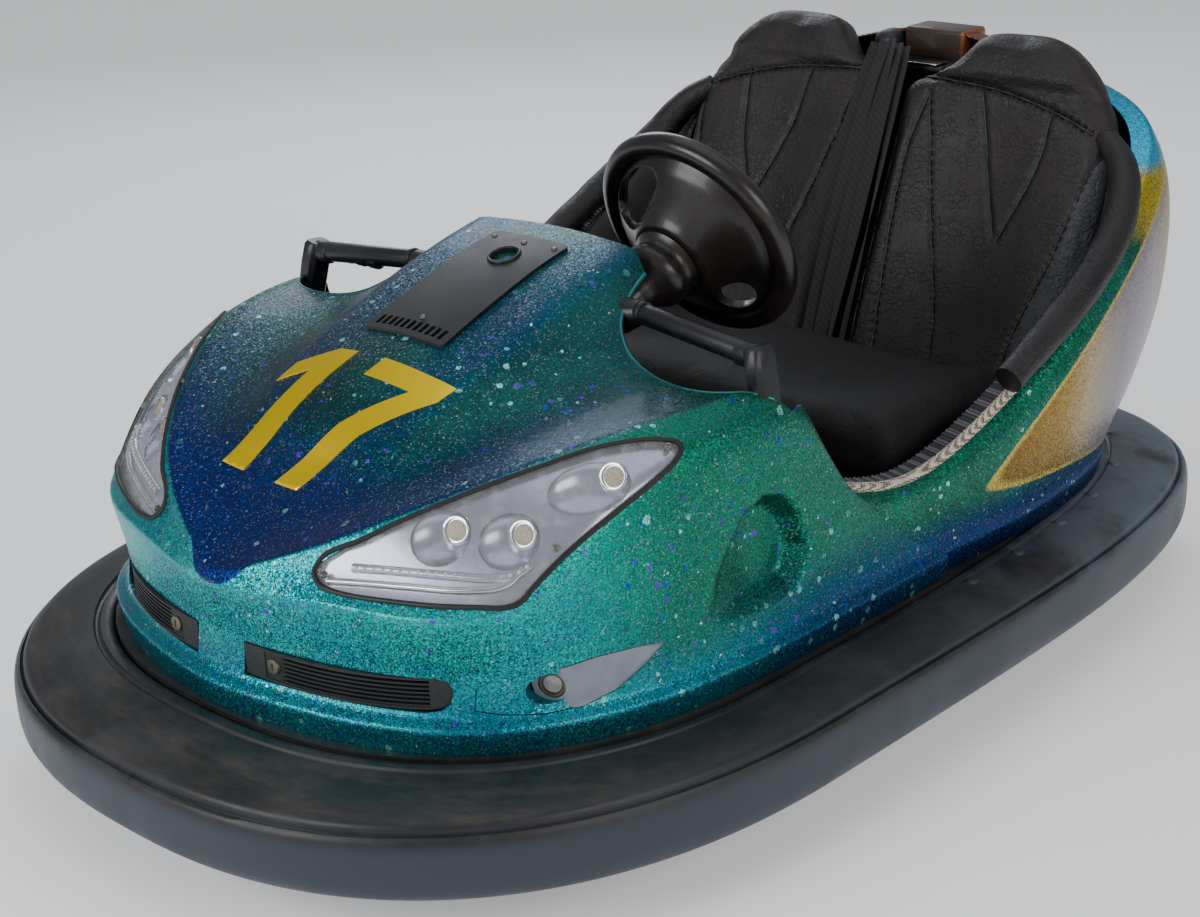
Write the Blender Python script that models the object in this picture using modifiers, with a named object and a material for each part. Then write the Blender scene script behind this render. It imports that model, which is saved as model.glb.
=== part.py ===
"""A two-seat fairground bumper car with a fibreglass body on a rubber ring, in metres, +Z up, front at -Y."""

import math

import bmesh
import bpy
from mathutils import Matrix, Vector

# Overall sizes.
CAR_LENGTH = 1.95
CAR_WIDTH = 1.266
GAP = 0.0003
OVERRUN = 0.02

# Rubber ring round the car, with its thickness from the well to the outside.
RING_BOTTOM = 0.078
RING_TOP = 0.203
RING_SIDE = 0.110
RING_NOSE = 0.160
RING_TAIL = 0.120
RING_CENTRE = 0.263
RING_FRONT_POWER = 2.38
RING_REAR_POWER = 4.12
RING_STATIONS = 56

# Well inside the ring. A steel band lines it, and the band's ledge and the plate carry the rest.
WELL_HALF_WIDTH = CAR_WIDTH / 2 - RING_SIDE
WELL_FRONT = CAR_LENGTH / 2 - RING_NOSE
WELL_REAR = CAR_LENGTH / 2 - RING_TAIL
WELL_CENTRE = 0.26
WELL_FRONT_POWER = 2.45
WELL_REAR_POWER = 3.4
BAND_WALL = 0.004
BAND_BOTTOM = 0.105
BAND_LEDGE = 0.045
PLATE_BOTTOM = 0.150
PLATE_THICKNESS = 0.008
PLATE_TOP = PLATE_BOTTOM + PLATE_THICKNESS
BEAM_WIDTH = 0.050
BEAM_DEPTH = 0.030
BEAM_END_INSET = 0.043
BEAM_HALF_LENGTH = WELL_HALF_WIDTH - BEAM_END_INSET
BEAM_EDGE = 0.003

# Fibreglass body, measured at the rim where it stands on the band.
RIM_INSET = 0.023
NOSE_INSET = 0.015
RIM_STEP = 0.002
BODY_HALF_WIDTH = WELL_HALF_WIDTH - RIM_INSET
BODY_LENGTH = WELL_FRONT - NOSE_INSET
RIM_HEIGHT = RING_TOP + RIM_STEP
HOOD_HEIGHT = 0.700
HOOD_RISE = HOOD_HEIGHT - RIM_HEIGHT
SHELL_WALL = 0.005
COLUMNS_PER_BAY = 2

# Driven and steered front wheel with its motor.
DRIVE_SETBACK = 0.315
DRIVE_Y = DRIVE_SETBACK - WELL_FRONT
DRIVE_RADIUS = 0.100
DRIVE_WIDTH = 0.055
DRIVE_TYRE = 0.022
DRIVE_HOLE = 0.165
SLEW_HEIGHT = 0.047
SLEW_OUTER = 0.200
TURNTABLE_RADIUS = 0.190
TURNTABLE_THICKNESS = 0.012
FORK_WIDTH = 0.070
FORK_THICKNESS = 0.012
FORK_CLEARANCE = 0.006
AXLE_RADIUS = 0.012
AXLE_CLEARANCE = 0.0004
MOTOR_LENGTH = 0.190
MOTOR_WIDTH = 0.150
MOTOR_HEIGHT = 0.115
MOTOR_EDGE = 0.012

# Fixed rear wheels.
REAR_SETBACK = 0.395
REAR_Y = WELL_REAR - REAR_SETBACK
REAR_INSET = 0.183
REAR_X = WELL_HALF_WIDTH - REAR_INSET
REAR_RADIUS = 0.068
REAR_WIDTH = 0.040
REAR_TYRE = 0.015

# Cockpit, from the bulkhead behind the drive back to the top of the seat backs.
PAN_INSET = 0.065
PAN_HALF_WIDTH = BODY_HALF_WIDTH - PAN_INSET
PAN_CLEARANCE = 0.025
PAN_FRONT = DRIVE_Y + SLEW_OUTER + PAN_CLEARANCE
PAN_LENGTH = 0.375
PAN_WALL = 0.004
PAN_HEIGHT = 0.14
BULKHEAD_INSET = 0.03
SEAT_INSET = 0.065
SEAT_HALF_WIDTH = BODY_HALF_WIDTH - SEAT_INSET
SEAT_FRONT = PAN_FRONT + PAN_LENGTH
SEAT_DEPTH = 0.37
SEAT_REAR = SEAT_FRONT + SEAT_DEPTH
SEAT_BASE = 0.27
SEAT_TOP = 0.41
SEAT_EDGE = 0.03
PEDESTAL_INSET = 0.02
BACK_GAP = 0.004
BACK_THICKNESS = 0.07
BACK_TOP = 0.866
BACK_LEAN = 0.256
BACK_INSET = 0.040
BACK_SPLIT = 0.010
BACK_HALF_WIDTH = (BODY_HALF_WIDTH - BACK_INSET - BACK_SPLIT) / 2
BACK_OFFSET = BACK_HALF_WIDTH + BACK_SPLIT
BOLSTER_RADIUS = 0.028
BOLSTER_FIT = 0.0009
STRAP_WIDTH = 0.046
STRAP_THICKNESS = 0.004
ANCHOR_HALF_WIDTH = 0.030
ANCHOR_THICKNESS = 0.010
ANCHOR_REACH = 0.10
PEDAL_WIDTH = 0.060
PEDAL_LENGTH = 0.110
PEDAL_HEIGHT = 0.055
PEDAL_SETBACK = 0.030

# Steering wheel, on the driver's side.
STEER_X = 0.14
STEER_SETBACK = 0.295
STEER_Y = PAN_FRONT + STEER_SETBACK
STEER_Z = 0.681
STEER_TILT = math.radians(23.5)
STEER_RADIUS = 0.155
STEER_RIM = 0.015
DISH_DEPTH = 0.045
DISH_WALL = 0.015
RIM_STEPS = 10
BOSS_RADIUS = 0.045
COLUMN_RADIUS = 0.020
SHAFT_RADIUS = 0.010
BOOT_LENGTH = 0.104
BOOT_START = 0.060
COLUMN_LENGTH = 0.345

PARTS = None
CUTTERS = None


def clear_scene():
    for obj in list(bpy.data.objects):
        bpy.data.objects.remove(obj, do_unlink=True)


def new_collection(name, hidden=False):
    made = bpy.data.collections.new(name)
    made.hide_render = hidden
    bpy.context.scene.collection.children.link(made)
    return made


# Materials as (colour, roughness, metallic share, alpha).
PAINTS = {
    "black_rubber": ((0.018, 0.019, 0.021), 0.55, 0.0, 1.0),
    "tyre_rubber": ((0.02, 0.02, 0.02), 0.8, 0.0, 1.0),
    "painted_steel": ((0.03, 0.03, 0.032), 0.6, 0.4, 1.0),
    "bare_steel": ((0.25, 0.25, 0.26), 0.45, 0.8, 1.0),
    "flake_paint": ((0.0, 0.20, 0.19), 0.25, 0.6, 1.0),
    "lamp_silver": ((0.55, 0.56, 0.58), 0.2, 0.9, 1.0),
    "lamp_lens": ((0.9, 0.92, 0.94), 0.05, 0.0, 0.3),
    "black_plastic": ((0.012, 0.012, 0.014), 0.45, 0.0, 1.0),
    "grey_plastic": ((0.25, 0.27, 0.31), 0.4, 0.0, 1.0),
    "black_vinyl": ((0.013, 0.012, 0.012), 0.5, 0.0, 1.0),
    "belt_web": ((0.012, 0.012, 0.013), 0.8, 0.0, 1.0),
}


def paint(name):
    """One material, made the first time that it is asked for."""
    if name in bpy.data.materials:
        return bpy.data.materials[name]
    colour, roughness, metallic, alpha = PAINTS[name]
    made = bpy.data.materials.new(name)
    made.use_nodes = True
    shader = made.node_tree.nodes["Principled BSDF"]
    shader.inputs["Base Color"].default_value = (*colour, 1.0)
    shader.inputs["Roughness"].default_value = roughness
    shader.inputs["Metallic"].default_value = metallic
    shader.inputs["Alpha"].default_value = alpha
    return made


def place(name, bm, mat=None, smooth=35.0):
    """Makes an object from a closed bmesh. With no material it is a cutter."""
    bmesh.ops.recalc_face_normals(bm, faces=bm.faces)
    return place_open(name, bm, mat, smooth)


def place_open(name, bm, mat=None, smooth=35.0):
    mesh = bpy.data.meshes.new(name)
    bm.to_mesh(mesh)
    bm.free()
    mesh.shade_smooth()
    mesh.set_sharp_from_angle(angle=math.radians(smooth))
    obj = bpy.data.objects.new(name, mesh)
    if mat is None:
        obj.hide_render = True
        obj.display_type = "WIRE"
        CUTTERS.objects.link(obj)
    else:
        mesh.materials.append(paint(mat))
        PARTS.objects.link(obj)
    return obj


def boolean(obj, other, operation="DIFFERENCE"):
    modifier = obj.modifiers.new(operation.lower() + "_" + other.name, "BOOLEAN")
    modifier.operation = operation
    modifier.object = other
    return modifier


def bevel(obj, width, segments=2, angle=40.0):
    modifier = obj.modifiers.new("rounded_edges", "BEVEL")
    modifier.width = width
    modifier.segments = segments
    modifier.limit_method = "ANGLE"
    modifier.angle_limit = math.radians(angle)
    return modifier


def box_mesh(low, high):
    """A closed box between two opposite corners, in either order."""
    low = Vector(low)
    high = Vector(high)
    size = [abs(value) for value in high - low]
    bm = bmesh.new()
    turn = Matrix.Translation((low + high) / 2) @ Matrix.Diagonal((*size, 1.0))
    bmesh.ops.create_cube(bm, size=1.0, matrix=turn)
    return bm


def cylinder_mesh(start, end, radius, sides=24, end_radius=None):
    """A closed cylinder or cone between two points."""
    start = Vector(start)
    end = Vector(end)
    run = end - start
    turn = Vector((0, 0, 1)).rotation_difference(run).to_matrix().to_4x4()
    bm = bmesh.new()
    bmesh.ops.create_cone(
        bm,
        cap_ends=True,
        segments=sides,
        radius1=radius,
        radius2=radius if end_radius is None else end_radius,
        depth=run.length,
        matrix=Matrix.Translation((start + end) / 2) @ turn,
    )
    return bm


def loft_mesh(rings, caps=True, around=False):
    """Quads between successive closed rings of points, with caps, or closed round on itself."""
    bm = bmesh.new()
    rows = [[bm.verts.new(point) for point in ring] for ring in rings]
    pairs = list(zip(rows, rows[1:]))
    if around:
        pairs.append((rows[-1], rows[0]))
    for row, other in pairs:
        for here in range(len(row)):
            after = (here + 1) % len(row)
            bm.faces.new((row[here], row[after], other[after], other[here]))
    if caps and not around:
        bm.faces.new(rows[0])
        bm.faces.new(rows[-1])
    return bm


def turned_mesh(profile, origin, axis, sides=32):
    """A closed profile of (distance along the axis, radius) turned about the axis, as a ring or a solid."""
    axis = Vector(axis).normalized()
    side = axis.orthogonal().normalized()
    other = axis.cross(side)
    rings = []
    for step in range(sides):
        angle = math.tau * step / sides
        out = side * math.cos(angle) + other * math.sin(angle)
        rings.append([Vector(origin) + axis * along + out * radius for along, radius in profile])
    bm = loft_mesh(rings, around=True)
    bmesh.ops.remove_doubles(bm, verts=bm.verts, dist=1e-6)
    return bm


def tube_object(name, points, radius, mat, resolution=3, bevel_resolution=2):
    """A round tube through the points, made a mesh with welded caps."""
    curve = bpy.data.curves.new(name, "CURVE")
    curve.dimensions = "3D"
    curve.bevel_depth = radius
    curve.bevel_resolution = bevel_resolution
    curve.use_fill_caps = True
    curve.resolution_u = resolution
    spline = curve.splines.new("BEZIER")
    spline.bezier_points.add(len(points) - 1)
    for bezier, point in zip(spline.bezier_points, points):
        bezier.co = point
        bezier.handle_left_type = "AUTO"
        bezier.handle_right_type = "AUTO"
    guide = bpy.data.objects.new(name + "_guide", curve)
    CUTTERS.objects.link(guide)
    bpy.context.view_layer.update()
    graph = bpy.context.evaluated_depsgraph_get()
    mesh = bpy.data.meshes.new_from_object(guide.evaluated_get(graph))
    bm = bmesh.new()
    bm.from_mesh(mesh)
    bmesh.ops.remove_doubles(bm, verts=bm.verts, dist=1e-5)
    bpy.data.objects.remove(guide, do_unlink=True)
    bpy.data.curves.remove(curve)
    bpy.data.meshes.remove(mesh)
    return place(name, bm, mat)


def egg_point(angle, half_width, front, rear, centre, front_power, rear_power):
    """A point in plan on a front and a rear superellipse that meet at the line y = -centre."""
    cosine = math.cos(angle)
    sine = math.sin(angle)
    power = front_power if sine < 0 else rear_power
    reach = front - centre if sine < 0 else rear + centre
    x = math.copysign(abs(cosine) ** (2 / power), cosine) * half_width
    y = math.copysign(abs(sine) ** (2 / power), sine) * reach - centre
    return x, y


def ring_outline():
    half_length = CAR_LENGTH / 2
    front = (CAR_WIDTH / 2, half_length, half_length, RING_CENTRE, RING_FRONT_POWER, RING_REAR_POWER)
    return [egg_point(math.tau * step / RING_STATIONS, *front) for step in range(RING_STATIONS)]


def well_outline(inset=0.0):
    """The plan of the well that the ring goes round, drawn in by an inset."""
    sizes = (
        WELL_HALF_WIDTH - inset,
        WELL_FRONT - inset,
        WELL_REAR - inset,
        WELL_CENTRE,
        WELL_FRONT_POWER,
        WELL_REAR_POWER,
    )
    return [egg_point(math.tau * step / RING_STATIONS, *sizes) for step in range(RING_STATIONS)]


# Ring section as (share of the way from well to outer edge, share of the height from bottom to top).
RING_SECTION_SHARES = (
    (0.00, 0.20),
    (0.10, 0.02),
    (0.30, 0.00),
    (0.70, 0.00),
    (0.91, 0.06),
    (0.99, 0.20),
    (1.00, 0.36),
    (1.00, 0.56),
    (0.985, 0.68),
    (0.96, 0.77),
    (0.925, 0.80),
    (0.905, 0.86),
    (0.60, 0.95),
    (0.25, 1.00),
    (0.06, 0.99),
    (0.00, 0.90),
)


def build_bumper_ring():
    """Rubber ring, lofted round from its section table between the well and the outer outline."""
    height = RING_TOP - RING_BOTTOM
    rings = []
    for (x0, y0), (x1, y1) in zip(well_outline(), ring_outline()):
        ring = []
        for across, up in RING_SECTION_SHARES:
            z = RING_BOTTOM + up * height
            ring.append((x0 + (x1 - x0) * across, y0 + (y1 - y0) * across, z))
        rings.append(ring)
    place("bumper_ring", loft_mesh(rings, around=True), "black_rubber")


def build_bumper_band():
    """Steel band of L section: the ring is stretched round it, and the body rim stands on its ledge."""
    outside = well_outline(GAP)
    wall = well_outline(GAP + BAND_WALL)
    ledge = well_outline(GAP + BAND_LEDGE)
    top = RIM_HEIGHT - GAP
    section = (
        (outside, BAND_BOTTOM),
        (outside, top),
        (ledge, top),
        (ledge, top - BAND_WALL),
        (wall, top - BAND_WALL),
        (wall, BAND_BOTTOM),
    )
    rings = [[(*outline[step], z) for outline, z in section] for step in range(RING_STATIONS)]
    place("bumper_band", loft_mesh(rings, around=True), "painted_steel")


def build_chassis_plate():
    """Flat steel plate inside the band, with a round hole for the drive head."""
    outline = well_outline(2 * GAP + BAND_WALL)
    rings = [[(x, y, z) for x, y in outline] for z in (PLATE_BOTTOM, PLATE_TOP)]
    plate = place("chassis_plate", loft_mesh(rings), "painted_steel")
    low = (0, DRIVE_Y, PLATE_BOTTOM - OVERRUN)
    high = (0, DRIVE_Y, PLATE_TOP + OVERRUN)
    boolean(plate, place("drive_hole_cutter", cylinder_mesh(low, high, DRIVE_HOLE, 40)))


# Cross beams as (name, place along the car as a share of the body length).
BEAM_SHARES = (("cross_beam_front", -0.30), ("cross_beam_rear", 0.375))


def build_cross_beams():
    """Box beams under the plate, whose flat undersides are also the lifting places."""
    for name, share in BEAM_SHARES:
        y = share * BODY_LENGTH
        low = (-BEAM_HALF_LENGTH, y - BEAM_WIDTH / 2, PLATE_BOTTOM - GAP - BEAM_DEPTH)
        high = (BEAM_HALF_LENGTH, y + BEAM_WIDTH / 2, PLATE_BOTTOM - GAP)
        bevel(place(name, box_mesh(low, high), "painted_steel"), BEAM_EDGE)


# Front shell: each section runs from the rim up to the centre line, as (x, y, z) shares of BODY_HALF_WIDTH,
# BODY_LENGTH and, above the rim, HOOD_RISE. The lines that join the sections are, in order: rim, lip,
# mouth low, mouth high, swage, lamp low, lamp middle, vee fold, vale, hood bulge edge, spine.
FRONT_SECTION_SHARES = (
    # Nose.
    (
        (0.000, -1.013, 0.000), (0.000, -1.019, 0.071), (0.000, -0.994, 0.095), (0.000, -0.985, 0.200),
        (0.000, -0.997, 0.320), (0.000, -1.000, 0.335), (0.000, -1.000, 0.345), (0.000, -0.990, 0.360),
        (0.000, -0.893, 0.445), (0.000, -0.787, 0.576), (0.000, -0.750, 0.636),
    ),
    # Inner end of the lamp.
    (
        (0.408, -0.970, 0.000), (0.412, -0.975, 0.071), (0.396, -0.952, 0.095), (0.394, -0.946, 0.196),
        (0.400, -0.957, 0.378), (0.372, -0.945, 0.396), (0.320, -0.926, 0.440), (0.262, -0.929, 0.462),
        (0.180, -0.850, 0.495), (0.200, -0.762, 0.616), (0.000, -0.719, 0.687),
    ),
    # Front corner.
    (
        (0.782, -0.848, 0.000), (0.790, -0.856, 0.071), (0.766, -0.835, 0.095), (0.760, -0.829, 0.192),
        (0.774, -0.856, 0.366), (0.775, -0.830, 0.396), (0.680, -0.819, 0.495), (0.524, -0.814, 0.592),
        (0.340, -0.775, 0.576), (0.290, -0.687, 0.697), (0.000, -0.650, 0.768),
    ),
    # Side, at the outer end of the lamp.
    (
        (1.000, -0.572, 0.000), (1.014, -0.575, 0.071), (0.986, -0.569, 0.095), (0.976, -0.563, 0.192),
        (0.962, -0.585, 0.485), (0.945, -0.615, 0.620), (0.905, -0.590, 0.677), (0.800, -0.569, 0.727),
        (0.480, -0.550, 0.690), (0.304, -0.537, 0.808), (0.000, -0.537, 0.848),
    ),
    # Side, beside the front of the cockpit.
    (
        (1.030, -0.200, 0.000), (1.040, -0.200, 0.071), (1.016, -0.200, 0.095), (1.010, -0.206, 0.192),
        (1.004, -0.237, 0.576), (1.004, -0.269, 0.667), (0.982, -0.300, 0.725), (0.900, -0.362, 0.754),
        (0.560, -0.313, 0.747), (0.314, -0.313, 0.935), (0.000, -0.313, 0.970),
    ),
    # Rear edge, round the front of the cockpit.
    (
        (1.032, 0.162, 0.000), (1.040, 0.144, 0.071), (1.020, 0.125, 0.101), (1.010, 0.050, 0.162),
        (0.994, -0.119, 0.414), (0.990, -0.178, 0.556), (0.980, -0.220, 0.690), (0.910, -0.234, 0.750),
        (0.520, -0.218, 0.762), (0.316, -0.168, 0.990), (0.000, -0.156, 1.010),
    ),
)
# Sharpness of each of those lines, from 0 for round to 1 for sharp.
FRONT_CREASE_SHARES = (0, 0.4, 0.3, 0.3, 0.4, 0, 0, 0.5, 0, 0.5, 0)

# Rear shell, from the sill under the front shell round to the middle of the tail, in the same units. The
# lines are: rim, lip, lip top, low side, middle side, high side, shoulder, top edge, turned-in edge.
REAR_SECTION_SHARES = (
    # Under the front shell.
    (
        (0.985, -0.150, 0.000), (0.998, -0.150, 0.060), (0.990, -0.150, 0.091), (0.980, -0.150, 0.160),
        (0.976, -0.150, 0.240), (0.972, -0.150, 0.310), (0.964, -0.150, 0.365), (0.940, -0.150, 0.394),
        (0.890, -0.150, 0.402),
    ),
    # Lowest point of the sill.
    (
        (0.998, 0.100, 0.000), (1.006, 0.100, 0.060), (0.996, 0.100, 0.091), (0.990, 0.100, 0.141),
        (0.998, 0.100, 0.212), (1.002, 0.100, 0.262), (0.994, 0.100, 0.293), (0.968, 0.100, 0.310),
        (0.918, 0.100, 0.317),
    ),
    # Beside the cushion.
    (
        (1.020, 0.375, 0.000), (1.034, 0.375, 0.060), (1.026, 0.375, 0.091), (1.044, 0.375, 0.192),
        (1.054, 0.375, 0.293), (1.056, 0.375, 0.384), (1.042, 0.375, 0.438), (1.010, 0.375, 0.465),
        (0.956, 0.375, 0.470),
    ),
    # Beside the backrest.
    (
        (0.990, 0.625, 0.000), (1.004, 0.625, 0.060), (0.994, 0.625, 0.091), (1.040, 0.625, 0.253),
        (1.074, 0.625, 0.455), (1.080, 0.625, 0.596), (1.064, 0.625, 0.667), (1.030, 0.625, 0.701),
        (0.970, 0.625, 0.690),
    ),
    # Rear corner.
    (
        (0.880, 0.831, 0.000), (0.894, 0.838, 0.060), (0.886, 0.834, 0.091), (0.968, 0.875, 0.313),
        (1.014, 0.912, 0.556), (1.012, 0.944, 0.798), (0.984, 0.950, 0.960), (0.940, 0.931, 1.060),
        (0.890, 0.903, 1.055),
    ),
    # Tail, beside the middle.
    (
        (0.540, 0.987, 0.000), (0.550, 0.996, 0.060), (0.544, 0.990, 0.091), (0.600, 1.037, 0.333),
        (0.640, 1.075, 0.596), (0.640, 1.094, 0.859), (0.620, 1.081, 1.061), (0.580, 1.044, 1.182),
        (0.540, 1.000, 1.182),
    ),
    # Middle of the tail.
    (
        (0.000, 1.031, 0.000), (0.000, 1.040, 0.060), (0.000, 1.034, 0.091), (0.000, 1.075, 0.354),
        (0.000, 1.112, 0.636), (0.000, 1.125, 0.919), (0.000, 1.106, 1.162), (0.000, 1.062, 1.313),
        (0.000, 1.012, 1.320),
    ),
)
REAR_CREASE_SHARES = (0, 0.4, 0, 0, 0.2, 0, 0, 0.5, 0)

FRONT = (FRONT_SECTION_SHARES, FRONT_CREASE_SHARES)
REAR = (REAR_SECTION_SHARES, REAR_CREASE_SHARES)


def on_body(shares):
    """A point from its shares of the body's half width, length and rise above the rim."""
    x, y, z = shares
    return Vector((x * BODY_HALF_WIDTH, y * BODY_LENGTH, RIM_HEIGHT + z * HOOD_RISE))


def between(sections, bays):
    """Catmull-Rom sections through the key sections, so many to a bay."""
    result = []
    last = len(sections) - 1
    for bay in range(last):
        for step in range(bays):
            t = step / bays
            row = []
            for line in range(len(sections[0])):
                keys = [Vector(sections[min(max(bay + k, 0), last)][line]) for k in (-1, 0, 1, 2)]
                p0, p1, p2, p3 = keys
                slope1 = (p2 - p0) / 2 if bay > 0 else p2 - p1
                slope2 = (p3 - p1) / 2 if bay < last - 1 else p2 - p1
                h00 = 2 * t**3 - 3 * t**2 + 1
                h10 = t**3 - 2 * t**2 + t
                h01 = 3 * t**2 - 2 * t**3
                h11 = t**3 - t**2
                row.append(p1 * h00 + slope1 * h10 + p2 * h01 + slope2 * h11)
            result.append(row)
    result.append([Vector(point) for point in sections[last]])
    return result


def shell_mesh(section_shares, crease_shares, overlap_share):
    """Half a shell's cage: an open sheet of quads through the sections, open at the plane x = 0. A share
    carries its last line on past the edge, by that much of the last strip."""
    sections = between(section_shares, COLUMNS_PER_BAY)
    for section in sections:
        section[-1] = section[-1] + (section[-1] - section[-2]) * overlap_share
    bm = bmesh.new()
    crease = bm.edges.layers.float.new("crease_edge")
    rows = [[bm.verts.new(on_body(point)) for point in section] for section in sections]
    for row, other in zip(rows, rows[1:]):
        for line in range(len(row) - 1):
            bm.faces.new((row[line], other[line], other[line + 1], row[line + 1]))
    for row, other in zip(rows, rows[1:]):
        for line, share in enumerate(crease_shares):
            bm.edges.get((row[line], other[line]))[crease] = share
    return bm


def shell_object(name, mesh_source, mat, outside, inside, overlap_share=0.0):
    """A whole shell between two offsets from the drawn surface, measured outwards."""
    obj = place_open(name, shell_mesh(*mesh_source, overlap_share), mat)
    mirror = obj.modifiers.new("mirror", "MIRROR")
    mirror.use_clip = True
    mirror.merge_threshold = 0.0001
    smooth = obj.modifiers.new("smooth", "SUBSURF")
    smooth.levels = 1
    smooth.render_levels = 1
    facets = obj.modifiers.new("flat_facets", "TRIANGULATE")
    facets.quad_method = "BEAUTY"
    solid = obj.modifiers.new("wall", "SOLIDIFY")
    solid.thickness = outside - inside
    solid.offset = 2 * outside / (outside - inside) - 1
    return obj


def grown(outline, margin):
    """A counterclockwise outline moved outwards by a margin, with mitred corners."""
    result = []
    count = len(outline)
    for here in range(count):
        before = Vector(outline[here - 1])
        point = Vector(outline[here])
        after = Vector(outline[(here + 1) % count])
        first = (point - before).normalized()
        second = (after - point).normalized()
        out = Vector((first.y + second.y, -first.x - second.x)).normalized()
        cosine = out.dot(Vector((first.y, -first.x)))
        result.append(point + out * (margin / cosine))
    return result


# Headlamp opening, drawn as (along, across) shares of its length and height on a slanted plane that
# faces LAMP_FACING from the centre. Both are shares too, the centre of the body sizes.
LAMP_CENTRE_SHARES = (0.63, -0.70, 0.485)
LAMP_FACING = (0.52, -0.52, 0.68)
LAMP_LENGTH = 0.47
LAMP_HEIGHT = 0.16
LAMP_OUTLINE_SHARES = (
    (-0.51, -0.19),
    (-0.49, -0.40),
    (-0.27, -0.61),
    (-0.07, -0.72),
    (0.01, -0.73),
    (0.06, -0.66),
    (0.19, -0.30),
    (0.31, -0.02),
    (0.41, 0.23),
    (0.48, 0.47),
    (0.45, 0.57),
    (0.31, 0.56),
    (0.09, 0.38),
    (-0.14, 0.17),
    (-0.37, -0.04),
)
LAMP_DEPTH = 0.030
LENS_THICKNESS = 0.003
LENS_PROUD = 0.001
LENS_GAP = 0.0005
BOWL_RADIUS = 0.030
BOWL_FLOOR_RADIUS = 0.016
BOWL_DEPTH = 0.018
# Bowls as (along, across) shares, as for the outline.
BOWL_SHARES = ((-0.17, -0.25), (0.01, -0.22), (0.24, 0.16))


def lamp_frame(side):
    """Origin and axes of the slanted lamp plane on one side: along the lamp, across it and out of it."""
    out = Vector(LAMP_FACING).normalized()
    along = Vector((1, 1, 0)) - out * out.dot(Vector((1, 1, 0)))
    along.normalize()
    across = out.cross(along)
    flip = Matrix.Diagonal((side, 1, 1))
    return [flip @ vector for vector in (on_body(LAMP_CENTRE_SHARES), along, across, out)]


def lamp_prism(name, side, margin):
    """The lamp outline run through the shell, larger by a margin."""
    centre, along, across, out = lamp_frame(side)
    outline = [(a * LAMP_LENGTH, b * LAMP_HEIGHT) for a, b in LAMP_OUTLINE_SHARES]
    rings = []
    for reach in (-LAMP_HEIGHT, LAMP_HEIGHT):
        rings.append([centre + along * a + across * b + out * reach for a, b in grown(outline, margin)])
    return place(name, loft_mesh(rings))


# Mouth openings as (x, z) outlines, in shares of the body half width and of the rise above the rim: the
# long one holds a ribbed cover, and the tapering one behind it a fog lamp.
GRILLE_SHARES = ((0.10, 0.104), (0.64, 0.104), (0.68, 0.125), (0.68, 0.180), (0.65, 0.192), (0.10, 0.192))
FOG_SHARES = (
    (0.735, 0.115),
    (0.78, 0.106),
    (0.85, 0.108),
    (0.90, 0.125),
    (0.935, 0.155),
    (0.955, 0.188),
    (0.85, 0.190),
    (0.76, 0.182),
    (0.735, 0.165),
)
MOUTH_BACK_SHARE = 0.40
MOUTH_SLAB_SHARE = 0.33
FOG_SLAB_SHARE = 0.36
GRILLE_FACE = 0.038
GRILLE_DEPTH = 0.040
RIB_GROOVES = 5
RIB_DEPTH = 0.009
RIB_GROOVE_HEIGHT = 0.0035
# First and last x of the grooves, and the lock barrel's x, as shares of the body half width.
RIB_START_SHARE = 0.20
RIB_END_SHARE = 0.66
LOCK_SHARE = 0.15
LOCK_RADIUS = 0.011
LOCK_PROUD = 0.004
FOG_FACE = 0.020
FOG_DEPTH = 0.045
# Fog lamp face, and the way it looks, as shares of the body sizes and as a direction.
FOG_CENTRE_SHARES = (0.822, -0.724, 0.150)
FOG_FACING = (0.45, -0.89, 0)
FOG_RADIUS = 0.0175
FOG_LAMP_LENGTH = 0.020
FOG_PROUD = 0.004
FOG_HOLLOW = 0.060

# Dished pocket in the body side, as a (y, z) outline in shares of the body length and rise.
POCKET_SHARES = (
    (-0.480, 0.225),
    (-0.300, 0.205),
    (-0.255, 0.235),
    (-0.246, 0.305),
    (-0.268, 0.395),
    (-0.318, 0.470),
    (-0.360, 0.482),
    (-0.400, 0.455),
    (-0.435, 0.330),
)
POCKET_DEPTH = 0.024
POCKET_WALL = 0.004


def mouth_arc(inset, x):
    """The y of the well outline's front half at x, drawn in by an inset."""
    share = min(abs(x) / (WELL_HALF_WIDTH - inset), 1.0)
    reach = WELL_FRONT - WELL_CENTRE - inset
    return -WELL_CENTRE - reach * (1 - share**WELL_FRONT_POWER) ** (1 / WELL_FRONT_POWER)


def mouth_prism(name, side, outline_shares, margin, mat=None):
    """A mouth outline run front to back through the shell, larger by a margin."""
    outline = [(x * BODY_HALF_WIDTH, RIM_HEIGHT + z * HOOD_RISE) for x, z in outline_shares]
    rings = []
    for y in (-BODY_LENGTH - 2 * OVERRUN, -MOUTH_BACK_SHARE * BODY_LENGTH):
        rings.append([(side * x, y, z) for x, z in grown(outline, margin)])
    return place(name, loft_mesh(rings), mat)


def arc_band(name, side, face, depth, first_share, last_share, low, high, steps=10):
    """A curved slab that follows the body lip in plan, from one inset to a deeper one."""
    near = []
    far = []
    for step in range(steps + 1):
        share = first_share + (last_share - first_share) * step / steps
        x = share * BODY_HALF_WIDTH
        near.append((side * x, mouth_arc(face, x)))
        far.append((side * x, mouth_arc(face + depth, x)))
    outline = near + far[::-1]
    return place(name, loft_mesh([[(x, y, z) for x, y in outline] for z in (low, high)]))


def pocket_prism(name, side, margin):
    outline = [(y * BODY_LENGTH, RIM_HEIGHT + z * HOOD_RISE) for y, z in POCKET_SHARES]
    rings = []
    for x in (BODY_HALF_WIDTH / 2, BODY_HALF_WIDTH + 2 * OVERRUN):
        rings.append([(side * x, y, z) for y, z in grown(outline, margin)])
    return place(name, loft_mesh(rings))


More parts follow.
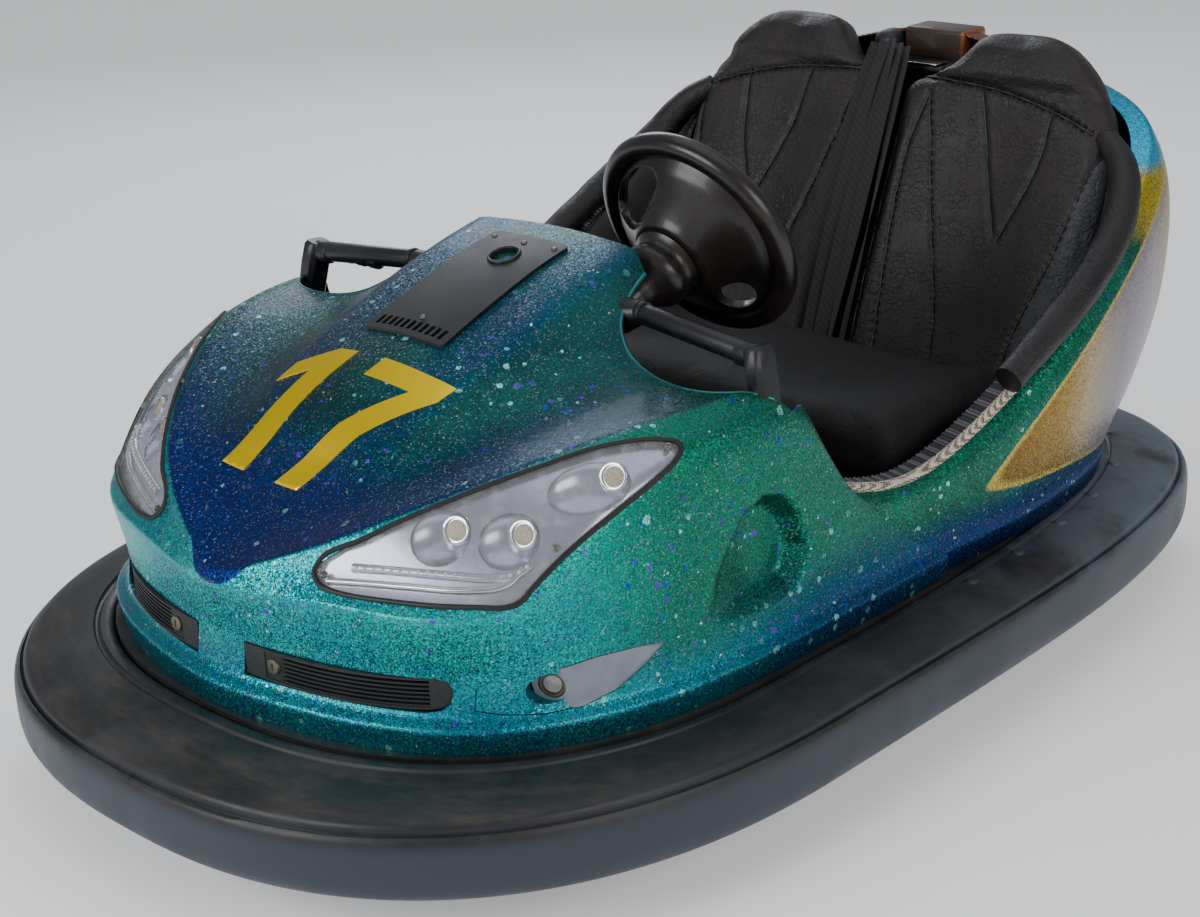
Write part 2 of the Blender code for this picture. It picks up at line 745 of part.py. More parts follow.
def build_front_body():
    """Front shell with the openings for its lamps, mouth covers and side pockets cut."""
    shell = shell_object("front_body", FRONT, "flake_paint", 0.0, -SHELL_WALL)
    for side, hand in ((1, "left"), (-1, "right")):
        boolean(shell, lamp_prism("lamp_hole_" + hand, side, GAP))
        boolean(shell, mouth_prism("grille_hole_" + hand, side, GRILLE_SHARES, GAP))
        boolean(shell, mouth_prism("fog_hole_" + hand, side, FOG_SHARES, GAP))
        boolean(shell, pocket_prism("pocket_hole_" + hand, side, GAP))


def build_headlamps():
    """Reflector block with three bowls, and a thin clear lens over it, both cut from the hull's own curve."""
    for side, hand in ((1, "left"), (-1, "right")):
        outline = lamp_prism("lamp_outline_" + hand, side, 0.0)
        face = -LENS_THICKNESS - LENS_GAP
        reflector = shell_object("headlamp_" + hand, FRONT, "lamp_silver", face, -LAMP_DEPTH)
        boolean(reflector, outline, "INTERSECT")
        centre, along, across, out = lamp_frame(side)
        for number, (share_a, share_b) in enumerate(BOWL_SHARES):
            spot = centre + along * share_a * LAMP_LENGTH + across * share_b * LAMP_HEIGHT
            low = spot - out * BOWL_DEPTH
            cutter = cylinder_mesh(low, spot + out * LAMP_DEPTH, BOWL_FLOOR_RADIUS, 16, BOWL_RADIUS)
            boolean(reflector, place("bowl_%s_%d" % (hand, number), cutter))
        lens = shell_object("headlamp_lens_" + hand, FRONT, "lamp_lens", LENS_PROUD, -LENS_THICKNESS)
        boolean(lens, outline, "INTERSECT")


def build_grilles():
    """Ribbed covers in the mouth, each with a lock barrel at its inner end."""
    low = RIM_HEIGHT
    high = RIM_HEIGHT + MOUTH_SLAB_SHARE * HOOD_RISE
    last = GRILLE_SHARES[2][0]
    bottom = RIM_HEIGHT + GRILLE_SHARES[0][1] * HOOD_RISE
    top = RIM_HEIGHT + GRILLE_SHARES[-1][1] * HOOD_RISE
    pitch = (top - bottom) / (RIB_GROOVES + 1)
    for side, hand in ((1, "left"), (-1, "right")):
        cover = mouth_prism("grille_" + hand, side, GRILLE_SHARES, 0.0, "black_plastic")
        band = arc_band("grille_band_" + hand, side, GRILLE_FACE, GRILLE_DEPTH, 0, last, low, high)
        boolean(cover, band, "INTERSECT")
        for number in range(RIB_GROOVES):
            middle = bottom + pitch * (number + 1)
            groove = arc_band(
                "groove_%s_%d" % (hand, number),
                side,
                GRILLE_FACE - RIB_DEPTH,
                2 * RIB_DEPTH,
                RIB_START_SHARE,
                RIB_END_SHARE,
                middle - RIB_GROOVE_HEIGHT / 2,
                middle + RIB_GROOVE_HEIGHT / 2,
            )
            boolean(cover, groove)
        x = LOCK_SHARE * BODY_HALF_WIDTH
        face = mouth_arc(GRILLE_FACE, x)
        centre = (bottom + top) / 2
        start = (side * x, face - LOCK_PROUD, centre)
        end = (side * x, face + GRILLE_DEPTH / 2, centre)
        boolean(cover, place("lock_" + hand, cylinder_mesh(start, end, LOCK_RADIUS, 20)), "UNION")


def build_fog_lamps():
    """Tapering cover at each front corner, hollowed in front of the round lamp barrel moulded into it."""
    low = RIM_HEIGHT
    high = RIM_HEIGHT + MOUTH_SLAB_SHARE * HOOD_RISE
    first = FOG_SLAB_SHARE
    last = FOG_SHARES[5][0]
    for side, hand in ((1, "left"), (-1, "right")):
        cover = mouth_prism("fog_scoop_" + hand, side, FOG_SHARES, 0.0, "grey_plastic")
        band = arc_band("fog_band_" + hand, side, FOG_FACE, FOG_DEPTH, first, last, low, high)
        boolean(cover, band, "INTERSECT")
        flip = Matrix.Diagonal((side, 1, 1))
        centre = flip @ on_body(FOG_CENTRE_SHARES)
        facing = flip @ Vector(FOG_FACING).normalized()
        hollow = cylinder_mesh(centre, centre + facing * FOG_HOLLOW, FOG_RADIUS, 20, 2 * FOG_RADIUS)
        boolean(cover, place("fog_hollow_" + hand, hollow))
        lamp = cylinder_mesh(centre - facing * FOG_LAMP_LENGTH, centre + facing * FOG_PROUD, FOG_RADIUS, 20)
        boolean(cover, place("fog_barrel_" + hand, lamp), "UNION")


def build_side_pockets():
    """Dished pans in the body sides, deepest at the rear and running out to the skin at the front."""
    front = min(y for y, z in POCKET_SHARES) * BODY_LENGTH
    rear = max(y for y, z in POCKET_SHARES) * BODY_LENGTH
    for side, hand in ((1, "left"), (-1, "right")):
        depth = POCKET_DEPTH + 2 * POCKET_WALL
        pan = shell_object("side_pocket_" + hand, FRONT, "flake_paint", 0.0, -depth)
        boolean(pan, pocket_prism("pocket_outline_" + hand, side, 0.0), "INTERSECT")
        outline = [(y * BODY_LENGTH, RIM_HEIGHT + z * HOOD_RISE) for y, z in POCKET_SHARES]
        rings = [[], []]
        for y, z in grown(outline, -POCKET_WALL):
            share = (y - front) / (rear - front)
            rings[0].append((side * (BODY_HALF_WIDTH + 2 * OVERRUN), y, z))
            rings[1].append((side * (BODY_HALF_WIDTH - share * POCKET_DEPTH), y, z))
        boolean(pan, place("pocket_dish_" + hand, loft_mesh(rings)))


# Thin cover on the hood bulge. Its ends and its hole are shares of the body length.
PANEL_FRONT_SHARE = -0.537
PANEL_REAR_SHARE = -0.205
PANEL_HOLE_SHARE = -0.268
PANEL_HALF_WIDTH = 0.072
PANEL_THICKNESS = 0.004
PANEL_HOLE_RADIUS = 0.022
LOUVRE_COUNT = 10
LOUVRE_WIDTH = 0.006
LOUVRE_LENGTH = 0.018
LOUVRE_SETBACK = 0.009


def build_hood_panel():
    """Black cover that lies on the hood bulge, with a socket hole and a row of louvres."""
    front = PANEL_FRONT_SHARE * BODY_LENGTH
    rear = PANEL_REAR_SHARE * BODY_LENGTH
    hole = PANEL_HOLE_SHARE * BODY_LENGTH
    top = HOOD_HEIGHT + OVERRUN
    panel = shell_object("hood_panel", FRONT, "black_plastic", PANEL_THICKNESS + GAP, GAP)
    low = (-PANEL_HALF_WIDTH, front, RIM_HEIGHT)
    high = (PANEL_HALF_WIDTH, rear, top)
    boolean(panel, place("panel_outline", box_mesh(low, high)), "INTERSECT")
    shaft = cylinder_mesh((0, hole, RIM_HEIGHT), (0, hole, top), PANEL_HOLE_RADIUS, 24)
    boolean(panel, place("panel_hole", shaft))
    pitch = 2 * PANEL_HALF_WIDTH / (LOUVRE_COUNT + 1)
    for number in range(LOUVRE_COUNT):
        x = pitch * (number + 1) - PANEL_HALF_WIDTH
        low = (x - LOUVRE_WIDTH / 2, front + LOUVRE_SETBACK, RIM_HEIGHT)
        high = (x + LOUVRE_WIDTH / 2, front + LOUVRE_SETBACK + LOUVRE_LENGTH, top)
        boolean(panel, place("louvre_%d" % number, box_mesh(low, high)))


def build_rear_body():
    shell_object("rear_body", REAR, "flake_paint", 0.0, -SHELL_WALL)


def build_drive_head():
    """Slewing ring on the plate, and the turntable and fork that turn in it with the motor on top."""
    base = PLATE_TOP + GAP
    slew_top = base + SLEW_HEIGHT
    profile = ((base, DRIVE_HOLE), (base, SLEW_OUTER), (slew_top, SLEW_OUTER), (slew_top, DRIVE_HOLE))
    place("slewing_ring", turned_mesh(profile, (0, DRIVE_Y, 0), (0, 0, 1), 40), "bare_steel")

    table_low = slew_top + GAP
    table_high = table_low + TURNTABLE_THICKNESS
    start = (0, DRIVE_Y, table_low)
    end = (0, DRIVE_Y, table_high)
    fork = place("drive_fork", cylinder_mesh(start, end, TURNTABLE_RADIUS, 40), "painted_steel")
    inner = DRIVE_WIDTH / 2 + FORK_CLEARANCE
    for side in (1, -1):
        low = (side * inner, DRIVE_Y - FORK_WIDTH / 2, DRIVE_RADIUS - FORK_WIDTH / 2)
        high = (side * (inner + FORK_THICKNESS), DRIVE_Y + FORK_WIDTH / 2, table_low + FORK_THICKNESS / 2)
        boolean(fork, place("fork_arm_%d" % (side > 0), box_mesh(low, high)), "UNION")
    reach = inner + FORK_THICKNESS + OVERRUN
    bore_radius = AXLE_RADIUS + AXLE_CLEARANCE
    bore = cylinder_mesh((-reach, DRIVE_Y, DRIVE_RADIUS), (reach, DRIVE_Y, DRIVE_RADIUS), bore_radius, 24)
    boolean(fork, place("fork_bore", bore))

    motor_low = table_high + GAP
    low = (-MOTOR_WIDTH / 2, DRIVE_Y - MOTOR_LENGTH / 2, motor_low)
    high = (MOTOR_WIDTH / 2, DRIVE_Y + MOTOR_LENGTH / 2, motor_low + MOTOR_HEIGHT)
    bevel(place("drive_motor", box_mesh(low, high), "painted_steel"), MOTOR_EDGE)


# Wheel hub section as (share of the half width, share of the hub radius), from the inner corner of the
# boss out to the rim, on the positive side. The other side mirrors it.
HUB_SHARES = ((1.0, 0.36), (0.3, 0.36), (0.3, 0.82), (1.0, 0.86), (1.0, 1.0))


def wheel_pair(name, centre, radius, width, tyre_depth, axle_half_length, sides=24):
    """A hub with its axle, and a solid rubber tyre on it."""
    half = width / 2
    hub_radius = radius - tyre_depth
    side = [(along * half, out * hub_radius) for along, out in HUB_SHARES]
    positive = [(axle_half_length, 0.0), (axle_half_length, AXLE_RADIUS), (half, AXLE_RADIUS), *side]
    hub = positive + [(-along, out) for along, out in reversed(positive)]
    place(name + "_hub", turned_mesh(hub, centre, (1, 0, 0), sides), "bare_steel")
    round_off = tyre_depth / 3
    tyre = (
        (-half, hub_radius + GAP),
        (-half, radius - round_off),
        (-half + round_off, radius),
        (half - round_off, radius),
        (half, radius - round_off),
        (half, hub_radius + GAP),
    )
    place(name + "_tyre", turned_mesh(tyre, centre, (1, 0, 0), sides), "tyre_rubber")


def build_drive_wheel():
    reach = DRIVE_WIDTH / 2 + FORK_CLEARANCE + FORK_THICKNESS
    wheel_pair("drive_wheel", (0, DRIVE_Y, DRIVE_RADIUS), DRIVE_RADIUS, DRIVE_WIDTH, DRIVE_TYRE, reach)


def build_rear_wheels():
    """Two fixed wheels, each in its own inverted-U bracket under the plate."""
    inner = REAR_WIDTH / 2 + FORK_CLEARANCE
    outer = inner + FORK_THICKNESS / 2
    top = PLATE_BOTTOM - GAP
    for side, hand in ((1, "left"), (-1, "right")):
        x = side * REAR_X
        centre = (x, REAR_Y, REAR_RADIUS)
        wheel_pair("rear_wheel_" + hand, centre, REAR_RADIUS, REAR_WIDTH, REAR_TYRE, outer, 20)
        low = (x - outer, REAR_Y - FORK_WIDTH / 2, REAR_RADIUS - 2 * AXLE_RADIUS)
        high = (x + outer, REAR_Y + FORK_WIDTH / 2, top)
        bracket = place("rear_bracket_" + hand, box_mesh(low, high), "painted_steel")
        low = (x - inner, REAR_Y - FORK_WIDTH, 0)
        high = (x + inner, REAR_Y + FORK_WIDTH, top - FORK_THICKNESS / 2)
        boolean(bracket, place("bracket_slot_" + hand, box_mesh(low, high)))
        reach = Vector((outer + OVERRUN, 0, 0))
        bore_radius = AXLE_RADIUS + AXLE_CLEARANCE
        bore = cylinder_mesh(Vector(centre) - reach, Vector(centre) + reach, bore_radius, 24)
        boolean(bracket, place("bracket_bore_" + hand, bore))


def build_floor_pan():
    """Open tub for the feet, with a tall bulkhead in front of it that carries the steering column."""
    base = PLATE_TOP + GAP
    rear = SEAT_FRONT - GAP
    low = (-PAN_HALF_WIDTH, PAN_FRONT, base)
    high = (PAN_HALF_WIDTH, rear, base + PAN_HEIGHT)
    pan = place("floor_pan", box_mesh(low, high), "black_plastic")
    low = (PAN_WALL - PAN_HALF_WIDTH, PAN_FRONT + PAN_WALL, base + PAN_WALL)
    high = (PAN_HALF_WIDTH - PAN_WALL, rear - PAN_WALL, base + PAN_HEIGHT + OVERRUN)
    boolean(pan, place("pan_hollow", box_mesh(low, high)))
    run = STEER_Y - PAN_FRONT + GAP
    top = STEER_Z - run * math.tan(STEER_TILT) - COLUMN_RADIUS / math.cos(STEER_TILT) - 2 * GAP
    low = (BULKHEAD_INSET - PAN_HALF_WIDTH, PAN_FRONT - GAP - PAN_WALL, base)
    high = (PAN_HALF_WIDTH - BULKHEAD_INSET, PAN_FRONT - GAP, top - PAN_WALL * math.tan(STEER_TILT))
    place("bulkhead", box_mesh(low, high), "black_plastic")


def build_pedal():
    """Wedge-shaped accelerator pedal on the pan floor, below the steering wheel."""
    floor = PLATE_TOP + PAN_WALL + 2 * GAP
    front = PAN_FRONT + PAN_WALL + PEDAL_SETBACK
    rings = []
    for x in (STEER_X - PEDAL_WIDTH / 2, STEER_X + PEDAL_WIDTH / 2):
        rings.append([(x, front, floor), (x, front + PEDAL_LENGTH, floor), (x, front, floor + PEDAL_HEIGHT)])
    place("pedal", loft_mesh(rings), "black_plastic")


def steering_axis():
    return Vector((0, math.cos(STEER_TILT), math.sin(STEER_TILT)))


# Openings in the dished wheel as (angle, share of the way out from the boss, share of it open).
DISH_OPENINGS = ((45, 0.52, 0.56), (135, 0.52, 0.56), (225, 0.52, 0.56), (315, 0.52, 0.56))
# Rubber boot round the steering column as (share of its length, share of the boss radius).
BOOT_SHARES = ((0.0, 1.0), (0.34, 0.62), (0.72, 0.75), (0.96, 0.98))


def build_steering():
    """Dished steering wheel with oval openings, its shaft, and the fixed column with its boot."""
    centre = Vector((STEER_X, STEER_Y, STEER_Z))
    axis = steering_axis()
    up = axis.cross(Vector((-1, 0, 0)))
    side = Vector((1, 0, 0))
    rim = []
    for step in range(RIM_STEPS + 1):
        angle = math.radians(240 - 300 * step / RIM_STEPS)
        rim.append((STEER_RIM * math.cos(angle), STEER_RADIUS + STEER_RIM * math.sin(angle)))
    front = DISH_WALL - DISH_DEPTH
    profile = [(-DISH_DEPTH, 0.0), (-DISH_DEPTH, BOSS_RADIUS), *rim, (front, BOSS_RADIUS), (front, 0.0)]
    wheel = place("steering_wheel", turned_mesh(profile, centre, axis, 36), "black_plastic")
    width = STEER_RADIUS - STEER_RIM - BOSS_RADIUS
    for number, (angle, out_share, open_share) in enumerate(DISH_OPENINGS):
        turn = math.radians(angle)
        out = side * math.cos(turn) + up * math.sin(turn)
        spot = centre + out * (BOSS_RADIUS + out_share * width)
        reach = axis * (DISH_DEPTH + OVERRUN)
        cutter = cylinder_mesh(spot - reach, spot + reach, open_share * width / 2, 16)
        boolean(wheel, place("dish_opening_%d" % number, cutter))
    shaft_start = centre - axis * (DISH_DEPTH + GAP)
    shaft_end = centre - axis * COLUMN_LENGTH
    place("steering_shaft", cylinder_mesh(shaft_start, shaft_end, SHAFT_RADIUS, 20), "bare_steel")
    bore = SHAFT_RADIUS + AXLE_CLEARANCE
    column = [(-BOOT_START, bore)]
    for along, out in BOOT_SHARES:
        column.append((-BOOT_START - along * BOOT_LENGTH, out * BOSS_RADIUS))
    column.append((-BOOT_START - BOOT_LENGTH, COLUMN_RADIUS))
    column.append((-COLUMN_LENGTH, COLUMN_RADIUS))
    column.append((-COLUMN_LENGTH, bore))
    place("steering_column", turned_mesh(column, centre, axis, 24), "black_plastic")


# Grab handle path as shares of the body sizes, on the left side.
HANDLE_SHARES = (
    (0.370, -0.255, 0.790),
    (0.430, -0.255, 0.842),
    (0.610, -0.260, 0.852),
    (0.820, -0.266, 0.852),
    (0.900, -0.272, 0.818),
    (0.918, -0.278, 0.690),
)
HANDLE_RADIUS = 0.014
HANDLE_ROOT = 0.075


def build_handles():
    """Grab handles: tubes whose ends are cut to the curve of the shell that they stand on."""
    seat = shell_object("body_seat", FRONT, None, GAP, -HANDLE_ROOT)
    for side, hand in ((1, "left"), (-1, "right")):
        points = [Matrix.Diagonal((side, 1, 1)) @ on_body(shares) for shares in HANDLE_SHARES]
        handle = tube_object("grab_handle_" + hand, points, HANDLE_RADIUS, "black_plastic")
        boolean(handle, seat)


# Seat back sections as shares of the height, the half width and the thickness, and their plan as shares of
# the half width and, from the middle, of the thickness.
BACK_SHARES = (
    (0.00, 1.00, 1.00),
    (0.30, 1.00, 1.00),
    (0.58, 0.98, 1.00),
    (0.66, 0.91, 1.00),
    (0.74, 0.86, 1.00),
    (0.82, 0.70, 1.00),
    (0.90, 0.62, 1.00),
    (0.97, 0.44, 0.75),
    (1.00, 0.26, 0.35),
)
BACK_PLAN_SHARES = (
    (-1.0, 0.05),
    (-0.8, -0.4),
    (-0.4, -0.5),
    (0.4, -0.5),
    (0.8, -0.4),
    (1.0, 0.05),
    (0.8, 0.5),
    (-0.8, 0.5),
)


def build_seats():
    """Pedestal, plain cushion and two backrest lobes with their headrests, dressed elsewhere."""
    low = (PEDESTAL_INSET - SEAT_HALF_WIDTH, SEAT_FRONT, PLATE_TOP + GAP)
    high = (SEAT_HALF_WIDTH - PEDESTAL_INSET, SEAT_REAR + BACK_THICKNESS, SEAT_BASE - GAP)
    place("seat_pedestal", box_mesh(low, high), "black_plastic")
    low = (-SEAT_HALF_WIDTH, SEAT_FRONT, SEAT_BASE)
    high = (SEAT_HALF_WIDTH, SEAT_REAR, SEAT_TOP)
    bevel(place("seat_cushion", box_mesh(low, high), "black_vinyl"), SEAT_EDGE)
    foot = SEAT_REAR + BACK_GAP
    for side, hand in ((1, "left"), (-1, "right")):
        x = side * BACK_OFFSET
        rings = []
        for up, wide, thick in BACK_SHARES:
            z = SEAT_BASE + up * (BACK_TOP - SEAT_BASE)
            y = foot + up * BACK_LEAN + BACK_THICKNESS / 2
            half = BACK_HALF_WIDTH * wide
            deep = BACK_THICKNESS * thick
            rings.append([(x + half * across, y + deep * back, z) for across, back in BACK_PLAN_SHARES])
        place("seat_back_" + hand, loft_mesh(rings), "black_vinyl")


# Padded roll along the top edge of the rear shell, as shares of the body sizes, on the left side.
BOLSTER_SHARES = (
    (1.020, 0.369, 0.521),
    (1.030, 0.494, 0.620),
    (1.030, 0.654, 0.747),
    (0.980, 0.781, 0.873),
    (0.948, 0.831, 0.970),
    (0.924, 0.850, 1.030),
)
# Belt path over the seam between the backs, as shares of the back's height, with its distance in front.
STRAP_SHARES = (0.22, 0.45, 0.70, 0.86)
STRAP_CLEARANCE = 0.004
EDGE_OVERLAP_SHARE = 0.08


def build_bolsters():
    """Padded rolls that are grooved where they sit on the rear shell's top edge."""
    edge = shell_object("shell_edge", REAR, None, BOLSTER_FIT, -SHELL_WALL - BOLSTER_FIT, EDGE_OVERLAP_SHARE)
    for side, hand in ((1, "left"), (-1, "right")):
        points = [Matrix.Diagonal((side, 1, 1)) @ on_body(shares) for shares in BOLSTER_SHARES]
        roll = tube_object("bolster_" + hand, points, BOLSTER_RADIUS, "black_vinyl")
        boolean(roll, edge)


def build_belts():
    """Steel anchor on the tail of the rear shell, and the strap bundle that runs down from it between the backs."""
    foot = SEAT_REAR + BACK_GAP
    top_share = STRAP_SHARES[-1]
    top = SEAT_BASE + top_share * (BACK_TOP - SEAT_BASE)
    front = foot + top_share * BACK_LEAN - STRAP_CLEARANCE
    low = (-ANCHOR_HALF_WIDTH, front, top)
    high = (ANCHOR_HALF_WIDTH, WELL_REAR + ANCHOR_REACH, top + ANCHOR_THICKNESS)
    anchor = place("belt_anchor", box_mesh(low, high), "bare_steel")
    beyond = shell_object("beyond_shell", REAR, None, ANCHOR_REACH, -SHELL_WALL - GAP)
    boolean(anchor, beyond)
    half = STRAP_WIDTH / 2
    rings = []
    for share in STRAP_SHARES:
        z = SEAT_BASE + share * (BACK_TOP - SEAT_BASE)
        y = foot + share * BACK_LEAN - STRAP_CLEARANCE
        if share == top_share:
            z -= GAP
        near = y - STRAP_THICKNESS
        rings.append([(-half, near, z), (half, near, z), (half, y, z), (-half, y, z)])
    place("belt_strap", loft_mesh(rings), "belt_web")


def build():
    global PARTS, CUTTERS
    clear_scene()
    PARTS = new_collection("bumper_car")
    CUTTERS = new_collection("cutters", hidden=True)
    build_bumper_ring()
    build_bumper_band()
    build_chassis_plate()
    build_cross_beams()
    build_drive_head()
    build_drive_wheel()
    build_rear_wheels()
    build_floor_pan()
    build_pedal()
    build_front_body()
    build_rear_body()
    build_headlamps()
    build_grilles()
    build_fog_lamps()
    build_side_pockets()
    build_hood_panel()
    build_steering()
    build_handles()
    build_seats()
    build_bolsters()
    build_belts()


build()
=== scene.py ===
# %% [markdown]
# # A two-seat fairground bumper car
# This lesson dresses the plain solids of a bumper car with the surfaces, fittings and finishes of the real one.
# The car is a thin fibreglass body in metal-flake paint. It stands in a wide rubber ring, and two riders share
# a padded bucket. Everything is in metres, the front looks along -Y, and the driver's side is +X.
# %% Load the solids that everything is fitted to
import math

import bmesh
import bpy
from mathutils import Matrix, Vector
from mathutils.bvhtree import BVHTree


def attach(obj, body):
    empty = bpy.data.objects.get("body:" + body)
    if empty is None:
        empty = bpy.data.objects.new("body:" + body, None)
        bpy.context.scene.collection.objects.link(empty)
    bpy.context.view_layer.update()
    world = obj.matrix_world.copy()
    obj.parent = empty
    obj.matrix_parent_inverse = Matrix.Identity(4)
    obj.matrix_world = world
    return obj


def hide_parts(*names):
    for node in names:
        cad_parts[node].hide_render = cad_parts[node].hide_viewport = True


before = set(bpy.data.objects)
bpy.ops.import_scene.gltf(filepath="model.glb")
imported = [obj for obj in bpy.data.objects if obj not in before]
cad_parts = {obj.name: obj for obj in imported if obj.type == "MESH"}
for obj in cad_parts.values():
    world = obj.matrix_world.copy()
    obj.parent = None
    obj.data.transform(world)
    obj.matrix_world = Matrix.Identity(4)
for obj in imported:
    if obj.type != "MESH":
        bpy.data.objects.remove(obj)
bpy.ops.object.select_all(action="DESELECT")
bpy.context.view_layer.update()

# %% [markdown]
# ## Small helpers
# A finished piece keeps its place in its mesh, so its object sits at the origin. Patterns then stay where they
# are when a wheel turns. Each piece also rides on a body and may stand for a plain solid, which it then hides.
# %% Helpers for pieces
def alone(obj):
    """Makes obj the only selected and the active object, as a click does."""
    bpy.ops.object.select_all(action="DESELECT")
    bpy.context.view_layer.objects.active = obj
    obj.select_set(True)


def apply_modifiers(obj):
    alone(obj)
    for modifier in list(obj.modifiers):
        bpy.ops.object.modifier_apply(modifier=modifier.name)
    obj.select_set(False)


def modified(obj, name, kind, **settings):
    """Adds a modifier and sets it."""
    modifier = obj.modifiers.new(name, kind)
    for key, value in settings.items():
        setattr(modifier, key, value)
    return modifier


def in_scene(name, data):
    """A new object that holds the data, linked to the scene."""
    obj = bpy.data.objects.new(name, data)
    bpy.context.scene.collection.objects.link(obj)
    return obj


def keep(obj, name, mats, body="root", stands_for=(), smooth=35):
    """Settles a finished piece: its place goes into its mesh, it gets its finish and it rides on a body."""
    bpy.context.view_layer.update()
    apply_modifiers(obj)
    flips = obj.matrix_world.determinant() < 0
    obj.data.transform(obj.matrix_world)
    obj.matrix_world = Matrix.Identity(4)
    if flips:
        obj.data.flip_normals()
    obj.name = name
    obj.data.name = name
    mats = mats if isinstance(mats, (list, tuple)) else [mats]
    for index, mat in enumerate(mats):
        if index < len(obj.data.materials):
            obj.data.materials[index] = mat
        else:
            obj.data.materials.append(mat)
    obj.data.shade_smooth()
    if smooth < 180:
        obj.data.set_sharp_from_angle(angle=math.radians(smooth))
    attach(obj, body)
    if stands_for:
        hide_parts(*stands_for)
    return obj


def mesh_object(name, bm):
    """A new object from a bmesh, which is used up."""
    mesh = bpy.data.meshes.new(name)
    bm.to_mesh(mesh)
    bm.free()
    return in_scene(name, mesh)


def loft(rings, closed=True, caps=True, around=False, outward=True):
    """A bmesh of quads between rows of points. A closed row joins its ends, and around joins the last to the first."""
    bm = bmesh.new()
    rows = [[bm.verts.new(point) for point in ring] for ring in rings]
    pairs = list(zip(rows, rows[1:])) + ([(rows[-1], rows[0])] if around else [])
    for row, other in pairs:
        for here in range(len(row) - (0 if closed else 1)):
            after = (here + 1) % len(row)
            bm.faces.new((row[here], row[after], other[after], other[here]))
    if caps and closed and not around:
        bm.faces.new(rows[0])
        bm.faces.new(rows[-1])
    if outward:
        bmesh.ops.recalc_face_normals(bm, faces=bm.faces)
    return bm


def round_curve(name, radius, sides):
    """An empty curve with a round section and closed ends."""
    curve = bpy.data.curves.new(name, "CURVE")
    curve.dimensions = "3D"
    curve.bevel_depth = radius
    curve.bevel_resolution = sides
    curve.use_fill_caps = True
    return curve


def as_mesh(name, curve):
    """A curve as an object, turned into a mesh."""
    alone(in_scene(name, curve))
    bpy.ops.object.convert(target="MESH")
    return bpy.context.view_layer.objects.active


def tube(name, points, radius, steps=6, sides=3, cyclic=False, radii=None):
    """A round bar through points, made a mesh with its caps welded."""
    curve = round_curve(name, radius, sides)
    curve.resolution_u = steps
    spline = curve.splines.new("BEZIER")
    spline.bezier_points.add(len(points) - 1)
    spline.use_cyclic_u = cyclic
    for number, (knot, point) in enumerate(zip(spline.bezier_points, points)):
        knot.co = point
        knot.handle_left_type = knot.handle_right_type = "AUTO"
        if radii:
            knot.radius = radii[number]
    made = as_mesh(name, curve)
    bpy.ops.object.mode_set(mode="EDIT")
    bpy.ops.mesh.select_all(action="SELECT")
    bpy.ops.mesh.remove_doubles(threshold=1e-5)
    bpy.ops.mesh.normals_make_consistent(inside=False)
    bpy.ops.object.mode_set(mode="OBJECT")
    return made


def joined(objects):
    """Several objects as one, with each one's place kept."""
    bpy.ops.object.select_all(action="DESELECT")
    for obj in objects:
        obj.select_set(True)
    bpy.context.view_layer.objects.active = objects[0]
    if len(objects) > 1:
        bpy.ops.object.join()
    return bpy.context.view_layer.objects.active


def cut(obj, other, operation="DIFFERENCE"):
    """Takes another closed mesh away from obj, or keeps what both share, and drops the other."""
    modified(obj, "cut", "BOOLEAN", operation=operation, object=other, solver="EXACT")
    apply_modifiers(obj)
    bpy.data.objects.remove(other, do_unlink=True)


def settled(made):
    """A primitive with its place moved into its mesh and its modifiers applied."""
    made.data.transform(made.matrix_world)
    made.matrix_world = Matrix.Identity(4)
    apply_modifiers(made)
    return made


def bar(start, end, radius, sides=24, end_radius=None, bevel=0.0):
    """A round bar or cone between two points, from the cone primitive."""
    start, end = Vector(start), Vector(end)
    run = end - start
    bpy.ops.mesh.primitive_cone_add(
        vertices=sides, radius1=radius, radius2=radius if end_radius is None else end_radius, depth=run.length,
        location=(start + end) / 2, rotation=Vector((0, 0, 1)).rotation_difference(run).to_euler())
    made = bpy.context.object
    if bevel:
        modified(made, "edge", "BEVEL", width=bevel, segments=3, limit_method="ANGLE")
    return settled(made)


def block(low, high, bevel=0.0, segments=3):
    """A box between two corners, from the cube primitive, with its edges eased."""
    low, high = Vector(low), Vector(high)
    bpy.ops.mesh.primitive_cube_add(size=1, location=(low + high) / 2)
    made = bpy.context.object
    made.scale = [abs(v) for v in high - low]
    bpy.context.view_layer.update()
    if bevel:
        modified(made, "edge", "BEVEL", width=bevel, segments=segments)
    return settled(made)


def ball(spot, radius, segments, ring_count):
    bpy.ops.mesh.primitive_uv_sphere_add(segments=segments, ring_count=ring_count, radius=radius, location=spot)
    return bpy.context.object


def on_side(side, spot):
    """A place of the driver's side, or its mirror image on the other side."""
    return Vector((side * spot[0], spot[1], spot[2]))


def ease(edge0, edge1, value):
    """0 before the first edge, 1 after the second, and smooth between them."""
    share = min(max((value - edge0) / (edge1 - edge0), 0.0), 1.0)
    return share * share * (3 - 2 * share)


def smooth_points(points, steps):
    """A smooth run of points through a few, with so many steps to each leg."""
    knots = [points[0]] + list(points) + [points[-1]]
    result = []
    for before, start, end, after in zip(knots, knots[1:], knots[2:], knots[3:]):
        for step in range(steps):
            t = step / steps
            result.append(tuple(
                0.5 * (2 * b + (c - a) * t + (2 * a - 5 * b + 4 * c - d) * t**2 + (3 * b - a - 3 * c + d) * t**3)
                for a, b, c, d in zip(before, start, end, after)))
    return result + [tuple(points[-1])]


SIDES = ((1, "left"), (-1, "right"))
DOWN = Vector((0, 0, -1))
print("helpers ready")

